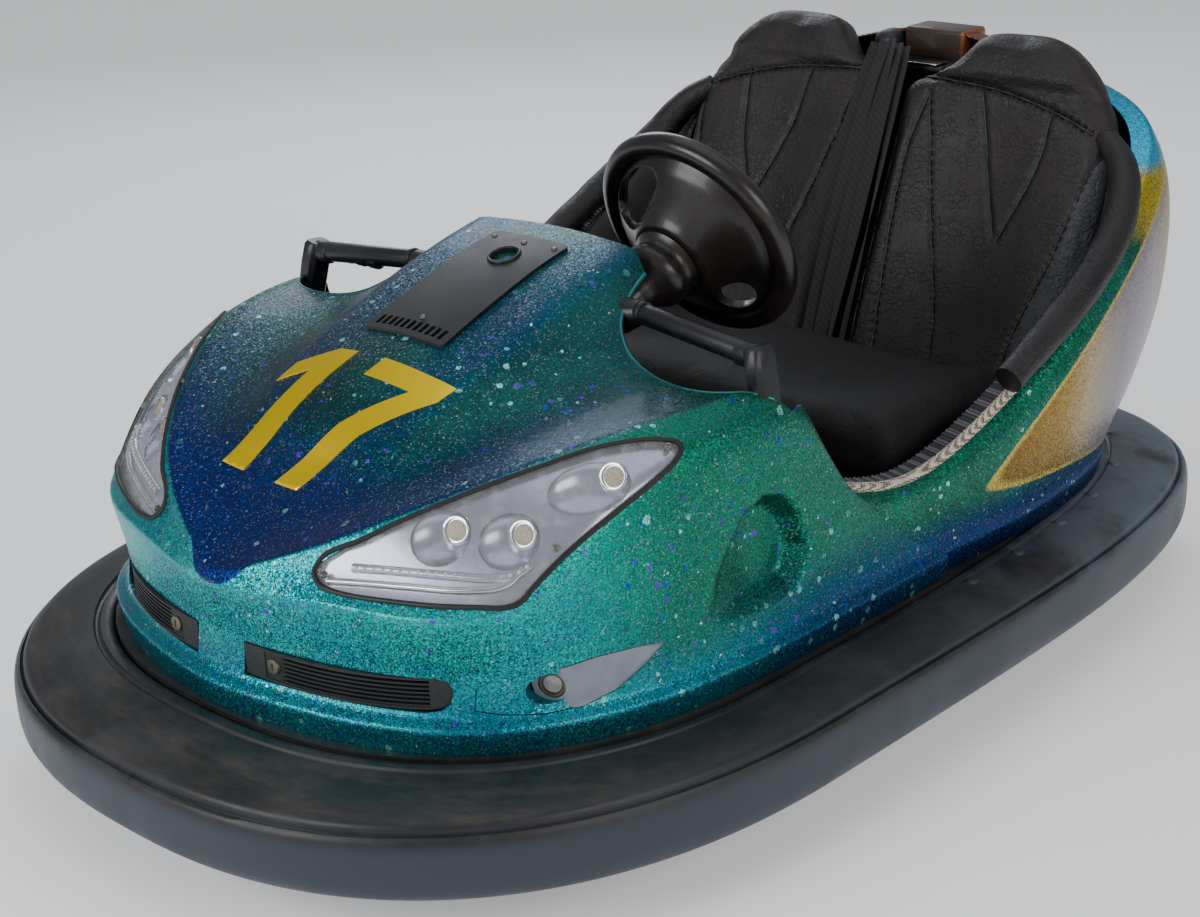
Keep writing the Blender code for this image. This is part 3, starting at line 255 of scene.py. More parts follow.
# %% [markdown]
# ## Helpers for materials
# A finish starts from what the real surface is. Its colours are sRGB hex values, as a colour picker gives them,
# and Blender wants them linear. One function adds a node, sets it and links what feeds it.
# %% Helpers for materials
def colour(hex_code):
    """An sRGB hex colour as linear RGBA."""
    parts = [int(hex_code[i:i + 2], 16) / 255 for i in (1, 3, 5)]
    return tuple(c / 12.92 if c <= 0.04045 else ((c + 0.055) / 1.055) ** 2.4 for c in parts) + (1.0,)


def add(tree, kind, *values, out=0, sockets=None, **settings):
    """Adds a node and gives one of its outputs, or the node itself for None. Values fill its inputs in order, None
    skips one, and a socket as a value is linked."""
    node = tree.nodes.new("ShaderNode" + kind)
    for key, value in settings.items():
        setattr(node, key, value)
    filled = [(index, value) for index, value in enumerate(values) if value is not None]
    for key, value in filled + list((sockets or {}).items()):
        if isinstance(value, bpy.types.NodeSocket):
            tree.links.new(value, node.inputs[key])
        else:
            node.inputs[key].default_value = value
    return node if out is None else node.outputs[out]


# A mix of two colours takes its share in input 0 and the colours in inputs 6 and 7. A range can rise smoothly.
IN_COLOUR = {"data_type": "RGBA", "out": 2}
SMOOTHLY = {"interpolation_type": "SMOOTHSTEP"}


def finish_named(name, **sockets):
    """A material with a Principled shader. Names of sockets have _ for a space."""
    made = bpy.data.materials.new(name)
    made.use_nodes = True
    shader = made.node_tree.nodes["Principled BSDF"]
    for key, value in sockets.items():
        shader.inputs[key.replace("_", " ")].default_value = value
    return made, made.node_tree, shader


def feed(tree, shader, **values):
    """Links values to the shader. Names of sockets have _ for a space."""
    for key, value in values.items():
        tree.links.new(value, shader.inputs[key.replace("_", " ")])


MM = 0.001


def per_metre(size_mm):
    """The scale of a pattern whose cells are so many millimetres wide."""
    return 1 / (size_mm * MM)


print("material helpers ready")

# %% [markdown]
# ## Rubber
# The ring is extruded and moulded natural rubber with carbon black. It leaves the mould dark and satin. Use
# rubs it grey, and dust settles on the flat top near the front. A lighter blue-grey on the top towards the rear
# and a bluish tint on the outer wall are painted sheen.
# %% Rubber finishes
def rubber(name, base, worn, rough, grain_mm, dust_and_sheen=0.0, height=0.2):
    mat, tree, shader = finish_named(name, Roughness=rough, Specular_IOR_Level=0.5)
    place = add(tree, "TexCoord", out="Object")
    smear = add(tree, "TexNoise", place, None, 7.0, 6.0, 0.65)
    fine = add(tree, "TexNoise", place, None, per_metre(grain_mm), 3.0, 0.6)
    shade = add(tree, "Mix", **IN_COLOUR,
                sockets={0: add(tree, "MapRange", smear, 0.42, 0.66, **SMOOTHLY), 6: colour(base), 7: colour(worn)})
    # This option brings dust on the flat top, and also a painted sheen on the rear top and the outer wall.
    if dust_and_sheen:
        split = add(tree, "SeparateXYZ", place, out=None).outputs
        facing = add(tree, "SeparateXYZ", add(tree, "NewGeometry", out="Normal"), out=None).outputs[2]
        front = add(tree, "MapRange", split[1], -0.25, -0.85, **SMOOTHLY)
        turned = add(tree, "VectorMath", place, operation="NORMALIZE")
        long_smear = add(tree, "Mapping", turned, None, None, (7.0, 7.0, 60.0))
        patch = add(tree, "MapRange", add(tree, "TexNoise", long_smear, None, 1.0, 9.0, 0.75), 0.40, 0.78, **SMOOTHLY)
        level = add(tree, "MapRange", facing, 0.55, 0.95, **SMOOTHLY)
        nearer = add(tree, "Math", front, 0.75, 0.1, operation="MULTIPLY_ADD")
        brown = add(tree, "Math", add(tree, "Math", patch, level, operation="MULTIPLY"), nearer, operation="MULTIPLY")
        shade = add(tree, "Mix", **IN_COLOUR,
                    sockets={0: add(tree, "Math", brown, dust_and_sheen, operation="MULTIPLY"), 6: shade, 7: colour("#4d453d")})
        # Painted sheen: the top turns a lighter blue-grey towards the rear, as if it reflected the sky.
        rear = add(tree, "Math", add(tree, "MapRange", split[1], 0.0, 0.7, **SMOOTHLY),
                   add(tree, "MapRange", smear, 0.30, 0.58, **SMOOTHLY), operation="MULTIPLY")
        shade = add(tree, "Mix", **IN_COLOUR,
                    sockets={0: add(tree, "Math", rear, 0.8, operation="MULTIPLY"), 6: shade, 7: colour("#5f6b7a")})
        # Painted sheen: the upright outer wall gets a bluish tint.
        wall = add(tree, "MapRange", facing, 0.5, 0.0, **SMOOTHLY)
        shade = add(tree, "Mix", **IN_COLOUR,
                    sockets={0: add(tree, "Math", wall, 0.8, operation="MULTIPLY"), 6: shade, 7: colour("#27303f")})
    feed(tree, shader, Base_Color=shade, Roughness=add(tree, "MapRange", smear, 0.3, 0.7, rough - 0.1, rough + 0.14))
    feed(tree, shader, Normal=add(tree, "Bump", height, 0.0008, sockets={"Height": fine}))
    return mat


ring_rubber = rubber("moulded_ring_rubber", "#17191c", "#2a2c2f", 0.46, 3.0, dust_and_sheen=0.85)
tyre_rubber = rubber("solid_tyre_rubber", "#151515", "#2b2a29", 0.7, 1.5)
gasket_rubber = rubber("extruded_gasket_rubber", "#101112", "#1b1c1e", 0.5, 1.0)
print("rubber:", ring_rubber.name, tyre_rubber.name, gasket_rubber.name)

# %% [markdown]
# ## Metals and plastics
# Turned steel, black chassis paint, vacuum-metallised lamp plastic and moulded ABS each keep their own gloss.
# A fine noise in colour and roughness stands for handling and dust.
# %% Metal and plastic finishes
def plain(name, base, second, rough, metal=0.0, grain_mm=2.0, height=0.0, coat=0.0, patch=9.0, specular=0.5):
    mat, tree, shader = finish_named(name, Metallic=metal, Coat_Weight=coat, Coat_Roughness=0.08)
    if not metal:
        shader.inputs["Specular IOR Level"].default_value = specular
    place = add(tree, "TexCoord", out="Object")
    cloud = add(tree, "TexNoise", place, None, patch, 5.0, 0.6)
    feed(tree, shader,
         Base_Color=add(tree, "Mix", **IN_COLOUR,
                        sockets={0: add(tree, "MapRange", cloud, 0.38, 0.66, **SMOOTHLY), 6: colour(base),
                                 7: colour(second)}),
         Roughness=add(tree, "MapRange", cloud, 0.3, 0.7, max(rough - 0.06, 0.02), rough + 0.08))
    if height:
        feed(tree, shader,
             Normal=add(tree, "Bump", height, 0.0006,
                        sockets={"Height": add(tree, "TexNoise", place, None, per_metre(grain_mm), 2.0, 0.5)}))
    return mat


chassis_paint = plain("black_chassis_paint", "#1b1b1c", "#2c2a28", 0.5, 0.0, 2.0, 0.15)
turned_steel = plain("turned_steel", "#8b8b8d", "#6d6a66", 0.36, 1.0, 1.2, 0.05)
zinc_screw = plain("zinc_plated_screw", "#8c8a84", "#5c5850", 0.38, 1.0, 1.0, 0.0)
lamp_plate = plain("metallised_reflector", "#b4b6c8", "#9c9eb4", 0.20, 0.9, 2.0, 0.0, patch=2.0)
lamp_chrome = plain("chromed_lamp_ring", "#d5d7da", "#b0b3b8", 0.08, 1.0)
led_phosphor = plain("led_phosphor_face", "#b9a98a", "#8f8168", 0.5, 0.0, 2.5, 0.9)
led_bead = plain("led_bead_resin", "#c9c7c2", "#8e8b86", 0.15, 0.2)
moulded_black = plain("moulded_black_abs", "#101114", "#191a1e", 0.42, 0.0, 1.6, 0.35)
satin_black = plain("satin_black_nylon", "#141519", "#202127", 0.34, 0.0, 1.5, 0.12)
# The dark brown second tone of the wheel and the boot is a painted brownish sheen, in random patches.
wheel_black = plain("steering_wheel_urethane", "#0c0b0c", "#211917", 0.32, 0.0, 2.2, 0.25, coat=0.12)
grille_black = plain("grille_textured_abs", "#1f2022", "#2c2d30", 0.5, 0.0, 1.8, 0.9)
rib_black = plain("grille_rib_abs", "#17181b", "#202226", 0.4, 0.0, 1.8, 0.15)
grey_insert = plain("satin_grey_lacquer", "#8a909c", "#767d8a", 0.36, 0.1)
lock_steel = plain("worn_lock_barrel", "#86836f", "#6c6958", 0.42, 0.7, 1.0, 0.2)
motor_enamel = plain("grey_motor_enamel", "#4b5054", "#3d4144", 0.45, 0.0, 2.0, 0.1)
lip_lacquer = plain("turquoise_edge_lacquer", "#03605f", "#047a74", 0.26, 0.6, 1.5, 0.1, 0.4)
spine_brown = plain("dark_brown_lacquer", "#2c1f19", "#3a2a21", 0.4, 0.2, 1.5, 0.1, 0.3)
spine_copper = plain("copper_lacquer", "#a5633f", "#8c5236", 0.35, 0.5, 1.5, 0.1, 0.3)
inner_gelcoat = plain("black_inner_gelcoat", "#0b0b0c", "#131314", 0.6)
# A near-black, unlit finish used as painted shade.
painted_shade_black = plain("painted_shade_black_sheet", "#060607", "#0a0a0b", 0.85)
number_vinyl = plain("yellow_cut_vinyl", "#ffe000", "#fbd400", 0.42, 1.0, 5.0, 0.04)
print("plain finishes ready")

# %% [markdown]
# Two of the trims show a woven or ribbed pattern that is finer than their mesh. The braid is knitted from tan and
# dark tinsel, so its colour changes in small diamonds, where two slanted waves cross. The strip has a lighter
# stripe on every rib, a painted highlight on its crown.
# %% Patterned trims
braid_metal, tree, shader = finish_named("braided_tan_tinsel", Roughness=0.4, Metallic=0.3)
split = add(tree, "SeparateXYZ", add(tree, "TexCoord", out="Object"), out=None).outputs
rising = add(tree, "Math",
             add(tree, "Math", add(tree, "Math", split[1], split[2], operation="ADD"), math.pi * per_metre(3.2),
                 operation="MULTIPLY"), operation="SINE")
falling = add(tree, "Math",
              add(tree, "Math", add(tree, "Math", split[1], split[0], operation="SUBTRACT"), math.pi * per_metre(3.0),
                  operation="MULTIPLY"), operation="SINE")
knit = add(tree, "MapRange", add(tree, "Math", rising, falling, operation="MULTIPLY"), -0.25, 0.10, **SMOOTHLY)
feed(tree, shader,
     Base_Color=add(tree, "Mix", **IN_COLOUR, sockets={0: knit, 6: colour("#5d4c40"), 7: colour("#e2d8c6")}))
feed(tree, shader, Normal=add(tree, "Bump", 0.7, 0.0012, sockets={"Height": knit}))

ribbed_strip, tree, shader = finish_named("ribbed_rubber_strip", Roughness=0.42)
run = add(tree, "SeparateXYZ", add(tree, "TexCoord", out="Object"), out=None).outputs[1]
wave = add(tree, "Math", add(tree, "Math", run, math.tau * per_metre(6.4), operation="MULTIPLY"), operation="SINE")
# The lighter stripes are a painted highlight on the crowns of the ribs.
feed(tree, shader,
     Base_Color=add(tree, "Mix", **IN_COLOUR,
                    sockets={0: add(tree, "MapRange", wave, 0.1, 0.7, **SMOOTHLY), 6: colour("#131217"),
                             7: colour("#5b5660")}))
print("patterned trims ready")

# %% [markdown]
# ## Clear lens
# The lamp covers are clear polycarbonate, 2 to 3 mm thick. A sheet that thin doesn't bend the view, and a fully
# refracting shader would keep most light out of the lamp. So the cover is a mostly see-through surface with a
# smooth gloss on it, and scuffs make it a little less clear.
# %% Clear polycarbonate
clear_lens, tree, shader = finish_named("clear_polycarbonate", Roughness=0.04, Alpha=0.1, Specular_IOR_Level=1.0)
shader.inputs["Base Color"].default_value = colour("#f4f7fa")
scuffs = add(tree, "TexNoise", add(tree, "TexCoord", out="Object"), None, 60.0, 4.0, 0.7)
feed(tree, shader, Roughness=add(tree, "MapRange", scuffs, 0.45, 0.8, 0.02, 0.22),
     Alpha=add(tree, "MapRange", scuffs, 0.5, 0.8, 0.07, 0.20))
print("lens:", clear_lens.name)

# %% [markdown]
# ## Leatherette, thread and webbing
# The seats are PVC leatherette: a film of black vinyl on cloth. Its embossed grain is about 1.5 mm wide, and long
# use adds creases. The grain is drawn as ridges between cells, and the creases as a stretched noise.
# %% Seat finishes
def leatherette(name, base, second, rough, grain_mm=2.2, crease=0.5):
    mat, tree, shader = finish_named(name, Specular_IOR_Level=0.45)
    place = add(tree, "TexCoord", out="Object")
    cloud = add(tree, "TexNoise", place, None, 6.0, 4.0, 0.6)
    wavy = add(tree, "TexNoise", place, None, 26.0, 5.0, 0.7)
    grain = add(tree, "TexVoronoi", place, None, per_metre(grain_mm), feature="DISTANCE_TO_EDGE")
    wrinkle = add(tree, "TexVoronoi", add(tree, "Mapping", place, None, None, (1.6, 1.0, 2.6)), None, 38.0,
                  feature="DISTANCE_TO_EDGE")
    fold = add(tree, "Math", add(tree, "MapRange", wrinkle, 0.0, 0.10, **SMOOTHLY),
               add(tree, "MapRange", wavy, 0.40, 0.60, **SMOOTHLY), operation="MULTIPLY")
    feed(tree, shader,
         Base_Color=add(tree, "Mix", **IN_COLOUR,
                        sockets={0: add(tree, "MapRange", cloud, 0.35, 0.65, **SMOOTHLY), 6: colour(base),
                                 7: colour(second)}),
         Roughness=add(tree, "MapRange", cloud, 0.3, 0.7, rough - 0.07, rough + 0.12))
    height = add(tree, "Math",
                 add(tree, "Math", add(tree, "MapRange", grain, 0.0, 0.4, **SMOOTHLY), 0.25, operation="MULTIPLY"),
                 add(tree, "Math", fold, crease, operation="MULTIPLY"), operation="ADD")
    feed(tree, shader, Normal=add(tree, "Bump", 0.45, 0.0016, sockets={"Height": height}))
    return mat


seat_vinyl = leatherette("pvc_leatherette", "#131010", "#221b19", 0.42, 2.2, 0.8)
# The bench is the same leatherette made almost black, a painted shade of the dark footwell it lies in.
bench_vinyl_painted_shade = leatherette("bench_leatherette_painted_shade", "#050505", "#0b0a0a", 0.72, 2.2, 0.8)
creased_vinyl = leatherette("creased_leatherette", "#33363a", "#404348", 0.46, 2.6, 2.6)
roll_vinyl = leatherette("roll_leatherette", "#0d0c12", "#1d1719", 0.36, 1.8, 0.8)
seam_thread = plain("bonded_thread", "#1a191b", "#262427", 0.35, 0.0, 1.0, 0.2)

webbing, tree, shader = finish_named("woven_belt_webbing", Roughness=0.75, Sheen_Weight=0.15)
place = add(tree, "TexCoord", out="Object")
weave = add(tree, "TexWave", place, per_metre(4.0) / 6.28, 1.0, out=1, bands_direction="DIAGONAL")
feed(tree, shader,
     Base_Color=add(tree, "Mix", **IN_COLOUR, sockets={0: weave, 6: colour("#0c0c0e"), 7: colour("#1a1a1d")}))
feed(tree, shader, Normal=add(tree, "Bump", 0.5, 0.0008, sockets={"Height": weave}))
print("seat finishes ready")

# %% [markdown]
# ## Metal-flake paint
# Flake paint is a clear lacquer full of tiny coloured foil squares over a silver base, with a thick clear coat.
# Each flake lies at its own angle, so it flashes in its own direction. Real flakes are 0.2 to 0.4 mm. Here they
# are drawn about 1.6 mm wide, so that they show. The shell carries a map of its own, with the station along the
# hull as U and the line across it as V, so the blue of the hood follows its fold.
# %% The flake layer, shared by both shells
def flake_layer(tree, place, shade, spread=0.55, size_mm=1.7):
    """Multiplies a colour by the random brightness of the flakes, paints a pale glint into a few of them, and tips the
    normal of each.
    """
    cells = add(tree, "TexVoronoi", place, None, per_metre(size_mm), out=None)
    tone = add(tree, "SeparateXYZ", cells.outputs["Color"], out=None).outputs
    gain = add(tree, "MapRange", tone[0], 0.0, 1.0, 1.0 - spread, 1.0 + spread)
    lit = add(tree, "Mix", **IN_COLOUR, blend_type="MULTIPLY",
              sockets={0: 1.0, 6: shade, 7: add(tree, "CombineXYZ", gain, gain, gain)})
    # A few flakes get a painted glint: their colour is mixed towards white.
    painted_glint = add(tree, "MapRange", tone[1], 0.90, 1.0, **SMOOTHLY)
    bright = add(tree, "Mix", **IN_COLOUR,
                 sockets={0: add(tree, "Math", painted_glint, 0.7, operation="MULTIPLY"), 6: lit,
                          7: add(tree, "Mix", **IN_COLOUR, sockets={0: 0.3, 6: shade, 7: (1, 1, 1, 1)})})
    tilt = add(tree, "VectorMath", cells.outputs["Color"], (0.5, 0.5, 0.5), operation="SUBTRACT")
    normal = add(tree, "NewGeometry", out="Normal")
    tipped = add(tree, "VectorMath", tilt, (0.42, 0.42, 0.42), normal, operation="MULTIPLY_ADD")
    return bright, add(tree, "VectorMath", tipped, operation="NORMALIZE")


def splatter(tree, place, shade, size_mm, radius, chance, tint, where=None, seed=0.0):
    """Throws small blots of paint, as from a brush that is flicked."""
    moved = add(tree, "Mapping", place, (seed, seed, seed))
    wobble = add(tree, "TexNoise", moved, None, per_metre(6.0), 3.0, 0.6, out=None)
    bent = add(tree, "VectorMath", wobble.outputs["Color"], (0.008, 0.008, 0.008), moved, operation="MULTIPLY_ADD")
    cells = add(tree, "TexVoronoi", bent, None, per_metre(size_mm), out=None)
    dice = add(tree, "SeparateXYZ", cells.outputs["Color"], out=None).outputs
    size = add(tree, "Math", dice[0], radius, operation="MULTIPLY")
    blot = add(tree, "Math", add(tree, "Math", cells.outputs["Distance"], size, operation="LESS_THAN"),
               add(tree, "Math", dice[2], chance, operation="LESS_THAN"), operation="MULTIPLY")
    crowd = add(tree, "MapRange", add(tree, "TexNoise", moved, None, 6.0, 3.0, 0.5), 0.44, 0.60, **SMOOTHLY)
    blot = add(tree, "Math", blot, crowd, operation="MULTIPLY")
    if where is not None:
        blot = add(tree, "Math", blot, where, operation="MULTIPLY")
    return add(tree, "Mix", **IN_COLOUR, sockets={0: blot, 6: shade, 7: tint})


def flake_paint(name, art):
    """Flake paint whose colours come from a function art(tree, place, station, line)."""
    mat, tree, shader = finish_named(name, Metallic=0.9, Coat_Weight=0.09, Coat_Roughness=0.12, Roughness=0.38)
    place = add(tree, "TexCoord", out="Object")
    hull = add(tree, "SeparateXYZ", add(tree, "UVMap", uv_map="hull_map"), out=None).outputs
    shade, plain_share = art(tree, place, hull[0], hull[1])
    bright, normal = flake_layer(tree, place, shade)
    if plain_share is not None:
        bright = add(tree, "Mix", **IN_COLOUR, sockets={0: plain_share, 6: bright, 7: shade})
    feed(tree, shader, Base_Color=bright, Normal=normal)
    return mat


def front_art(tree, place, station, line):
    """Turquoise nose, deep blue on the fold of the hood, and green along the sides."""
    line = add(tree, "Math", line, 10.0, operation="MULTIPLY")
    station = add(tree, "Math", station, 5.0, operation="MULTIPLY")
    split = add(tree, "SeparateXYZ", place, out=None).outputs
    cloud = add(tree, "TexNoise", place, None, 5.0, 4.0, 0.6)
    base = add(tree, "Mix", **IN_COLOUR,
               sockets={0: add(tree, "MapRange", cloud, 0.35, 0.65, **SMOOTHLY), 6: colour("#008c98"),
                        7: colour("#0ca8a2")})
    green = add(tree, "Math", add(tree, "MapRange", station, 2.2, 3.2, **SMOOTHLY),
                add(tree, "MapRange", line, 1.4, 3.0, **SMOOTHLY), operation="MULTIPLY")
    base = add(tree, "Mix", **IN_COLOUR,
               sockets={0: add(tree, "Math", green, 0.85, operation="MULTIPLY"), 6: base, 7: colour("#00694a")})
    low = add(tree, "MapRange", line, 3.4, 1.6, **SMOOTHLY)
    base = add(tree, "Mix", **IN_COLOUR,
               sockets={0: add(tree, "Math", low, 0.6, operation="MULTIPLY"), 6: base, 7: colour("#006b88")})
    aft_low = add(tree, "Math", add(tree, "MapRange", split[1], -0.45, -0.10, **SMOOTHLY),
                  add(tree, "MapRange", split[2], 0.36, 0.24, **SMOOTHLY), operation="MULTIPLY")
    base = add(tree, "Mix", **IN_COLOUR,
               sockets={0: add(tree, "Math", aft_low, 0.8, operation="MULTIPLY"), 6: base, 7: colour("#032c6c")})
    tip = add(tree, "Math", add(tree, "MapRange", station, 0.5, 0.0, **SMOOTHLY), 2.4, operation="MULTIPLY")
    inside = add(tree, "MapRange", add(tree, "Math", line, tip, operation="ADD"), 6.96, 7.06, **SMOOTHLY)
    hood = add(tree, "Mix", **IN_COLOUR,
               sockets={0: add(tree, "MapRange", cloud, 0.38, 0.62, **SMOOTHLY), 6: colour("#013d44"),
                        7: colour("#035550")})
    base = add(tree, "Mix", **IN_COLOUR, sockets={0: inside, 6: base, 7: hood})
    nose = add(tree, "Math", add(tree, "MapRange", split[1], -0.46, -0.70, **SMOOTHLY),
               add(tree, "MapRange", split[2], 0.56, 0.47, **SMOOTHLY), operation="MULTIPLY")
    edge = add(tree, "Math", add(tree, "MapRange", line, 8.6, 7.2, **SMOOTHLY),
               add(tree, "MapRange", station, 3.9, 1.2, **SMOOTHLY), operation="MULTIPLY")
    deep = add(tree, "Math", inside, add(tree, "Math", nose, edge, operation="MAXIMUM"), operation="MULTIPLY")
    base = add(tree, "Mix", **IN_COLOUR,
               sockets={0: add(tree, "Math", deep, 0.94, operation="MULTIPLY"), 6: base, 7: colour("#03246f")})
    crest = add(tree, "Math", add(tree, "MapRange", line, 8.7, 9.1, **SMOOTHLY),
                add(tree, "MapRange", line, 9.9, 9.2, **SMOOTHLY), operation="MULTIPLY")
    base = add(tree, "Mix", **IN_COLOUR,
               sockets={0: add(tree, "Math", crest, 0.45, operation="MULTIPLY"), 6: base, 7: colour("#053a70")})
    for size_mm, radius, chance, tint, seed in (
            (14, 0.32, 0.22, "#4a2fb4", 0.0), (10, 0.24, 0.16, "#9fe6e0", 3.1), (15, 0.34, 0.26, "#1348ae", 7.7),
            (9, 0.22, 0.12, "#d9dcf2", 5.3), (15, 0.40, 0.20, "#7fcfd0", 9.3), (14, 0.38, 0.20, "#5a3fc0", 12.1)):
        base = splatter(tree, place, base, size_mm, radius, chance, colour(tint), None, seed)
    return base, None


hull_paint = flake_paint("metal_flake_lacquer_front", front_art)
print("paint:", hull_paint.name)

# %% [markdown]
# ## The rear flank
# Plain bands run along the flank: flake green under the padded roll, then one masked band that goes from gold to
# sand and grey inside a light rim, with yellow and turquoise towards the top. A painter masks such a band and
# fades the colours inside it with an airbrush. The edges are distances in the side view, so they stay crisp at
# any size.
# %% Airbrushed bands
def rear_art(tree, place, station, line):
    """Green under the roll, a closed gold and sand band with a light rim below it, and turquoise at the top."""
    line = add(tree, "Math", line, 8.0, operation="MULTIPLY")
    split = add(tree, "SeparateXYZ", place, out=None).outputs
    run, rise = split[1], split[2]
    cloud = add(tree, "TexNoise", place, None, 9.0, 5.0, 0.6)
    wave = add(tree, "Math", cloud, 0.010, -0.005, operation="MULTIPLY_ADD")
    shade = add(tree, "Mix", **IN_COLOUR,
                sockets={0: add(tree, "MapRange", cloud, 0.35, 0.65, **SMOOTHLY), 6: colour("#01604c"),
                         7: colour("#02745c")})
    shade = add(tree, "Mix", **IN_COLOUR,
                sockets={0: add(tree, "Math", add(tree, "MapRange", rise, 0.315, 0.245, **SMOOTHLY), 0.92,
                                operation="MULTIPLY"), 6: shade, 7: colour("#052f74")})
    yellow = add(tree, "Math",
                 add(tree, "MapRange", add(tree, "Math", rise, wave, operation="ADD"), 0.585, 0.610, **SMOOTHLY),
                 add(tree, "MapRange", run, 0.56, 0.66, **SMOOTHLY), operation="MULTIPLY")
    shade = add(tree, "Mix", **IN_COLOUR, sockets={0: yellow, 6: shade, 7: colour("#b9a524")})
    high = add(tree, "MapRange", add(tree, "Math", rise, wave, operation="ADD"), 0.675, 0.700, **SMOOTHLY)
    shade = add(tree, "Mix", **IN_COLOUR, sockets={0: high, 6: shade, 7: colour("#1fa9d2")})
    over = add(tree, "Math", add(tree, "Math", run, 0.675, 0.178, operation="MULTIPLY_ADD"), rise, operation="SUBTRACT")
    under = add(tree, "Math", rise, add(tree, "Math", run, -0.10, 0.318, operation="MULTIPLY_ADD"),
                operation="SUBTRACT")
    over = add(tree, "Math", add(tree, "Math", over, 0.012, operation="ADD"), 0.0, operation="MAXIMUM")
    under = add(tree, "Math", add(tree, "Math", under, 0.012, operation="ADD"), 0.0, operation="MAXIMUM")
    rounded = add(tree, "Math", add(tree, "Math", over, under, operation="MULTIPLY"),
                  add(tree, "Math", over, under, operation="ADD"), operation="DIVIDE")
    inner = add(tree, "Math", rounded, add(tree, "Math", wave, 0.3, operation="MULTIPLY"), operation="ADD")
    band = add(tree, "MapRange", inner, 0.012, 0.0145, **SMOOTHLY)
    blend = add(tree, "ValToRGB", add(tree, "Math", cloud, 0.10, run, operation="MULTIPLY_ADD"), out=None)
    stops = ((0.30, "#7d5d10"), (0.44, "#9a7a30"), (0.52, "#ab9a78"), (0.60, "#8d8790"), (0.70, "#a7a0a8"),
             (0.80, "#a8965c"))
    while len(blend.color_ramp.elements) < len(stops):
        blend.color_ramp.elements.new(0.5)
    for element, (where, tint) in zip(blend.color_ramp.elements, stops):
        element.position = where
        element.color = colour(tint)
    inside = blend.outputs[0]
    rim = add(tree, "MapRange", inner, 0.022, 0.015, **SMOOTHLY)
    inside = add(tree, "Mix", **IN_COLOUR,
                 sockets={0: add(tree, "Math", rim, 0.8, operation="MULTIPLY"), 6: inside, 7: colour("#d2bd5e")})
    shade = add(tree, "Mix", **IN_COLOUR, sockets={0: band, 6: shade, 7: inside})
    spine = add(tree, "Math", add(tree, "MapRange", rise, 0.79, 0.83, **SMOOTHLY),
                add(tree, "MapRange", line, 6.4, 7.2, **SMOOTHLY), operation="MULTIPLY")
    shade = add(tree, "Mix", **IN_COLOUR, sockets={0: spine, 6: shade, 7: colour("#7a4a34")})
    plain_share = add(tree, "Math", add(tree, "MapRange", run, 0.42, 0.56, **SMOOTHLY), band, operation="MULTIPLY")
    clear = add(tree, "Math", 1.0,
                add(tree, "Math", band, add(tree, "Math", yellow, high, operation="MAXIMUM"), operation="MAXIMUM"),
                operation="SUBTRACT")
    for size_mm, radius, chance, tint, seed in ((10, 0.26, 0.4, "#a9e6dc", 2.0), (13, 0.34, 0.3, "#4b37a0", 4.0),
                                            (13, 0.38, 0.25, "#8fd0c8", 6.0)):
        shade = splatter(tree, place, shade, size_mm, radius, chance, colour(tint), clear, seed)
    return shade, plain_share


flank_paint = flake_paint("airbrushed_lacquer_rear", rear_art)
print("paint:", flank_paint.name)

# %% [markdown]
# ## Camera, floor and light
# The camera stands at the car's left front corner, a little above the seats, where the photograph was taken.
# The car lies on a pale floor under large soft lights.
# %% Camera
IMAGE_WIDTH = 1200
CAMERA_PLACE = (2.13949624, -2.25713868, 1.49365219)
CAMERA_AXES = ((0.726095, 0.686512, -0.038559), (-0.21936, 0.284426, 0.933265), (0.651665, -0.669181, 0.357113))
FOCAL_PIXELS = 2147.9

lens = bpy.data.cameras.new("camera")
lens.sensor_width = 36
lens.lens = FOCAL_PIXELS / IMAGE_WIDTH * lens.sensor_width
camera = in_scene("camera", lens)
turn = Matrix(CAMERA_AXES).transposed().to_4x4()
camera.matrix_world = Matrix.Translation(CAMERA_PLACE) @ turn
bpy.context.scene.camera = camera
print("camera lens:", round(lens.lens, 2))

# %% Floor, lights and surroundings
bpy.ops.mesh.primitive_plane_add(size=24)
floor = bpy.context.object
floor.name = "floor"
floor_paint, tree, shader = finish_named("pale_floor_paint", Roughness=0.85)
mottle = add(tree, "TexNoise", add(tree, "TexCoord", out="Object"), None, 3.0, 3.0, 0.5)
feed(tree, shader,
     Base_Color=add(tree, "Mix", **IN_COLOUR, sockets={0: mottle, 6: colour("#f1f2f3"), 7: colour("#f4f5f6")}))
shader.inputs["Emission Color"].default_value = colour("#f4f5f6")
shader.inputs["Emission Strength"].default_value = 0.35
floor.data.materials.append(floor_paint)


def soft_light(name, place, aim, size, power, tint="#ffffff"):
    data = bpy.data.lights.new(name, "AREA")
    data.shape = "RECTANGLE"
    data.size, data.size_y = size
    data.energy = power
    data.color = colour(tint)[:3]
    light = in_scene(name, data)
    light.location = place
    light.rotation_euler = (Vector(aim) - Vector(place)).to_track_quat("-Z", "Y").to_euler()


soft_light("sky_light", (0.0, 0.3, 4.2), (0, 0, 0.3), (4.0, 4.0), 42, "#f2f7ff")
soft_light("front_light", (-0.6, -4.2, 2.4), (0, -0.3, 0.35), (2.6, 1.6), 100, "#ffffff")
soft_light("side_light", (4.0, -0.6, 2.2), (0.2, 0, 0.4), (2.6, 1.6), 58, "#fffaf2")
soft_light("rim_light", (-3.2, 2.8, 2.6), (0, 0.2, 0.5), (2.2, 1.4), 45, "#eef4ff")
surroundings = bpy.data.worlds.new("surroundings")
bpy.context.scene.world = surroundings
surroundings.use_nodes = True
surroundings.node_tree.nodes["Background"].inputs[0].default_value = colour("#eef1f5")
surroundings.node_tree.nodes["Background"].inputs[1].default_value = 0.38
print("floor and lights ready")

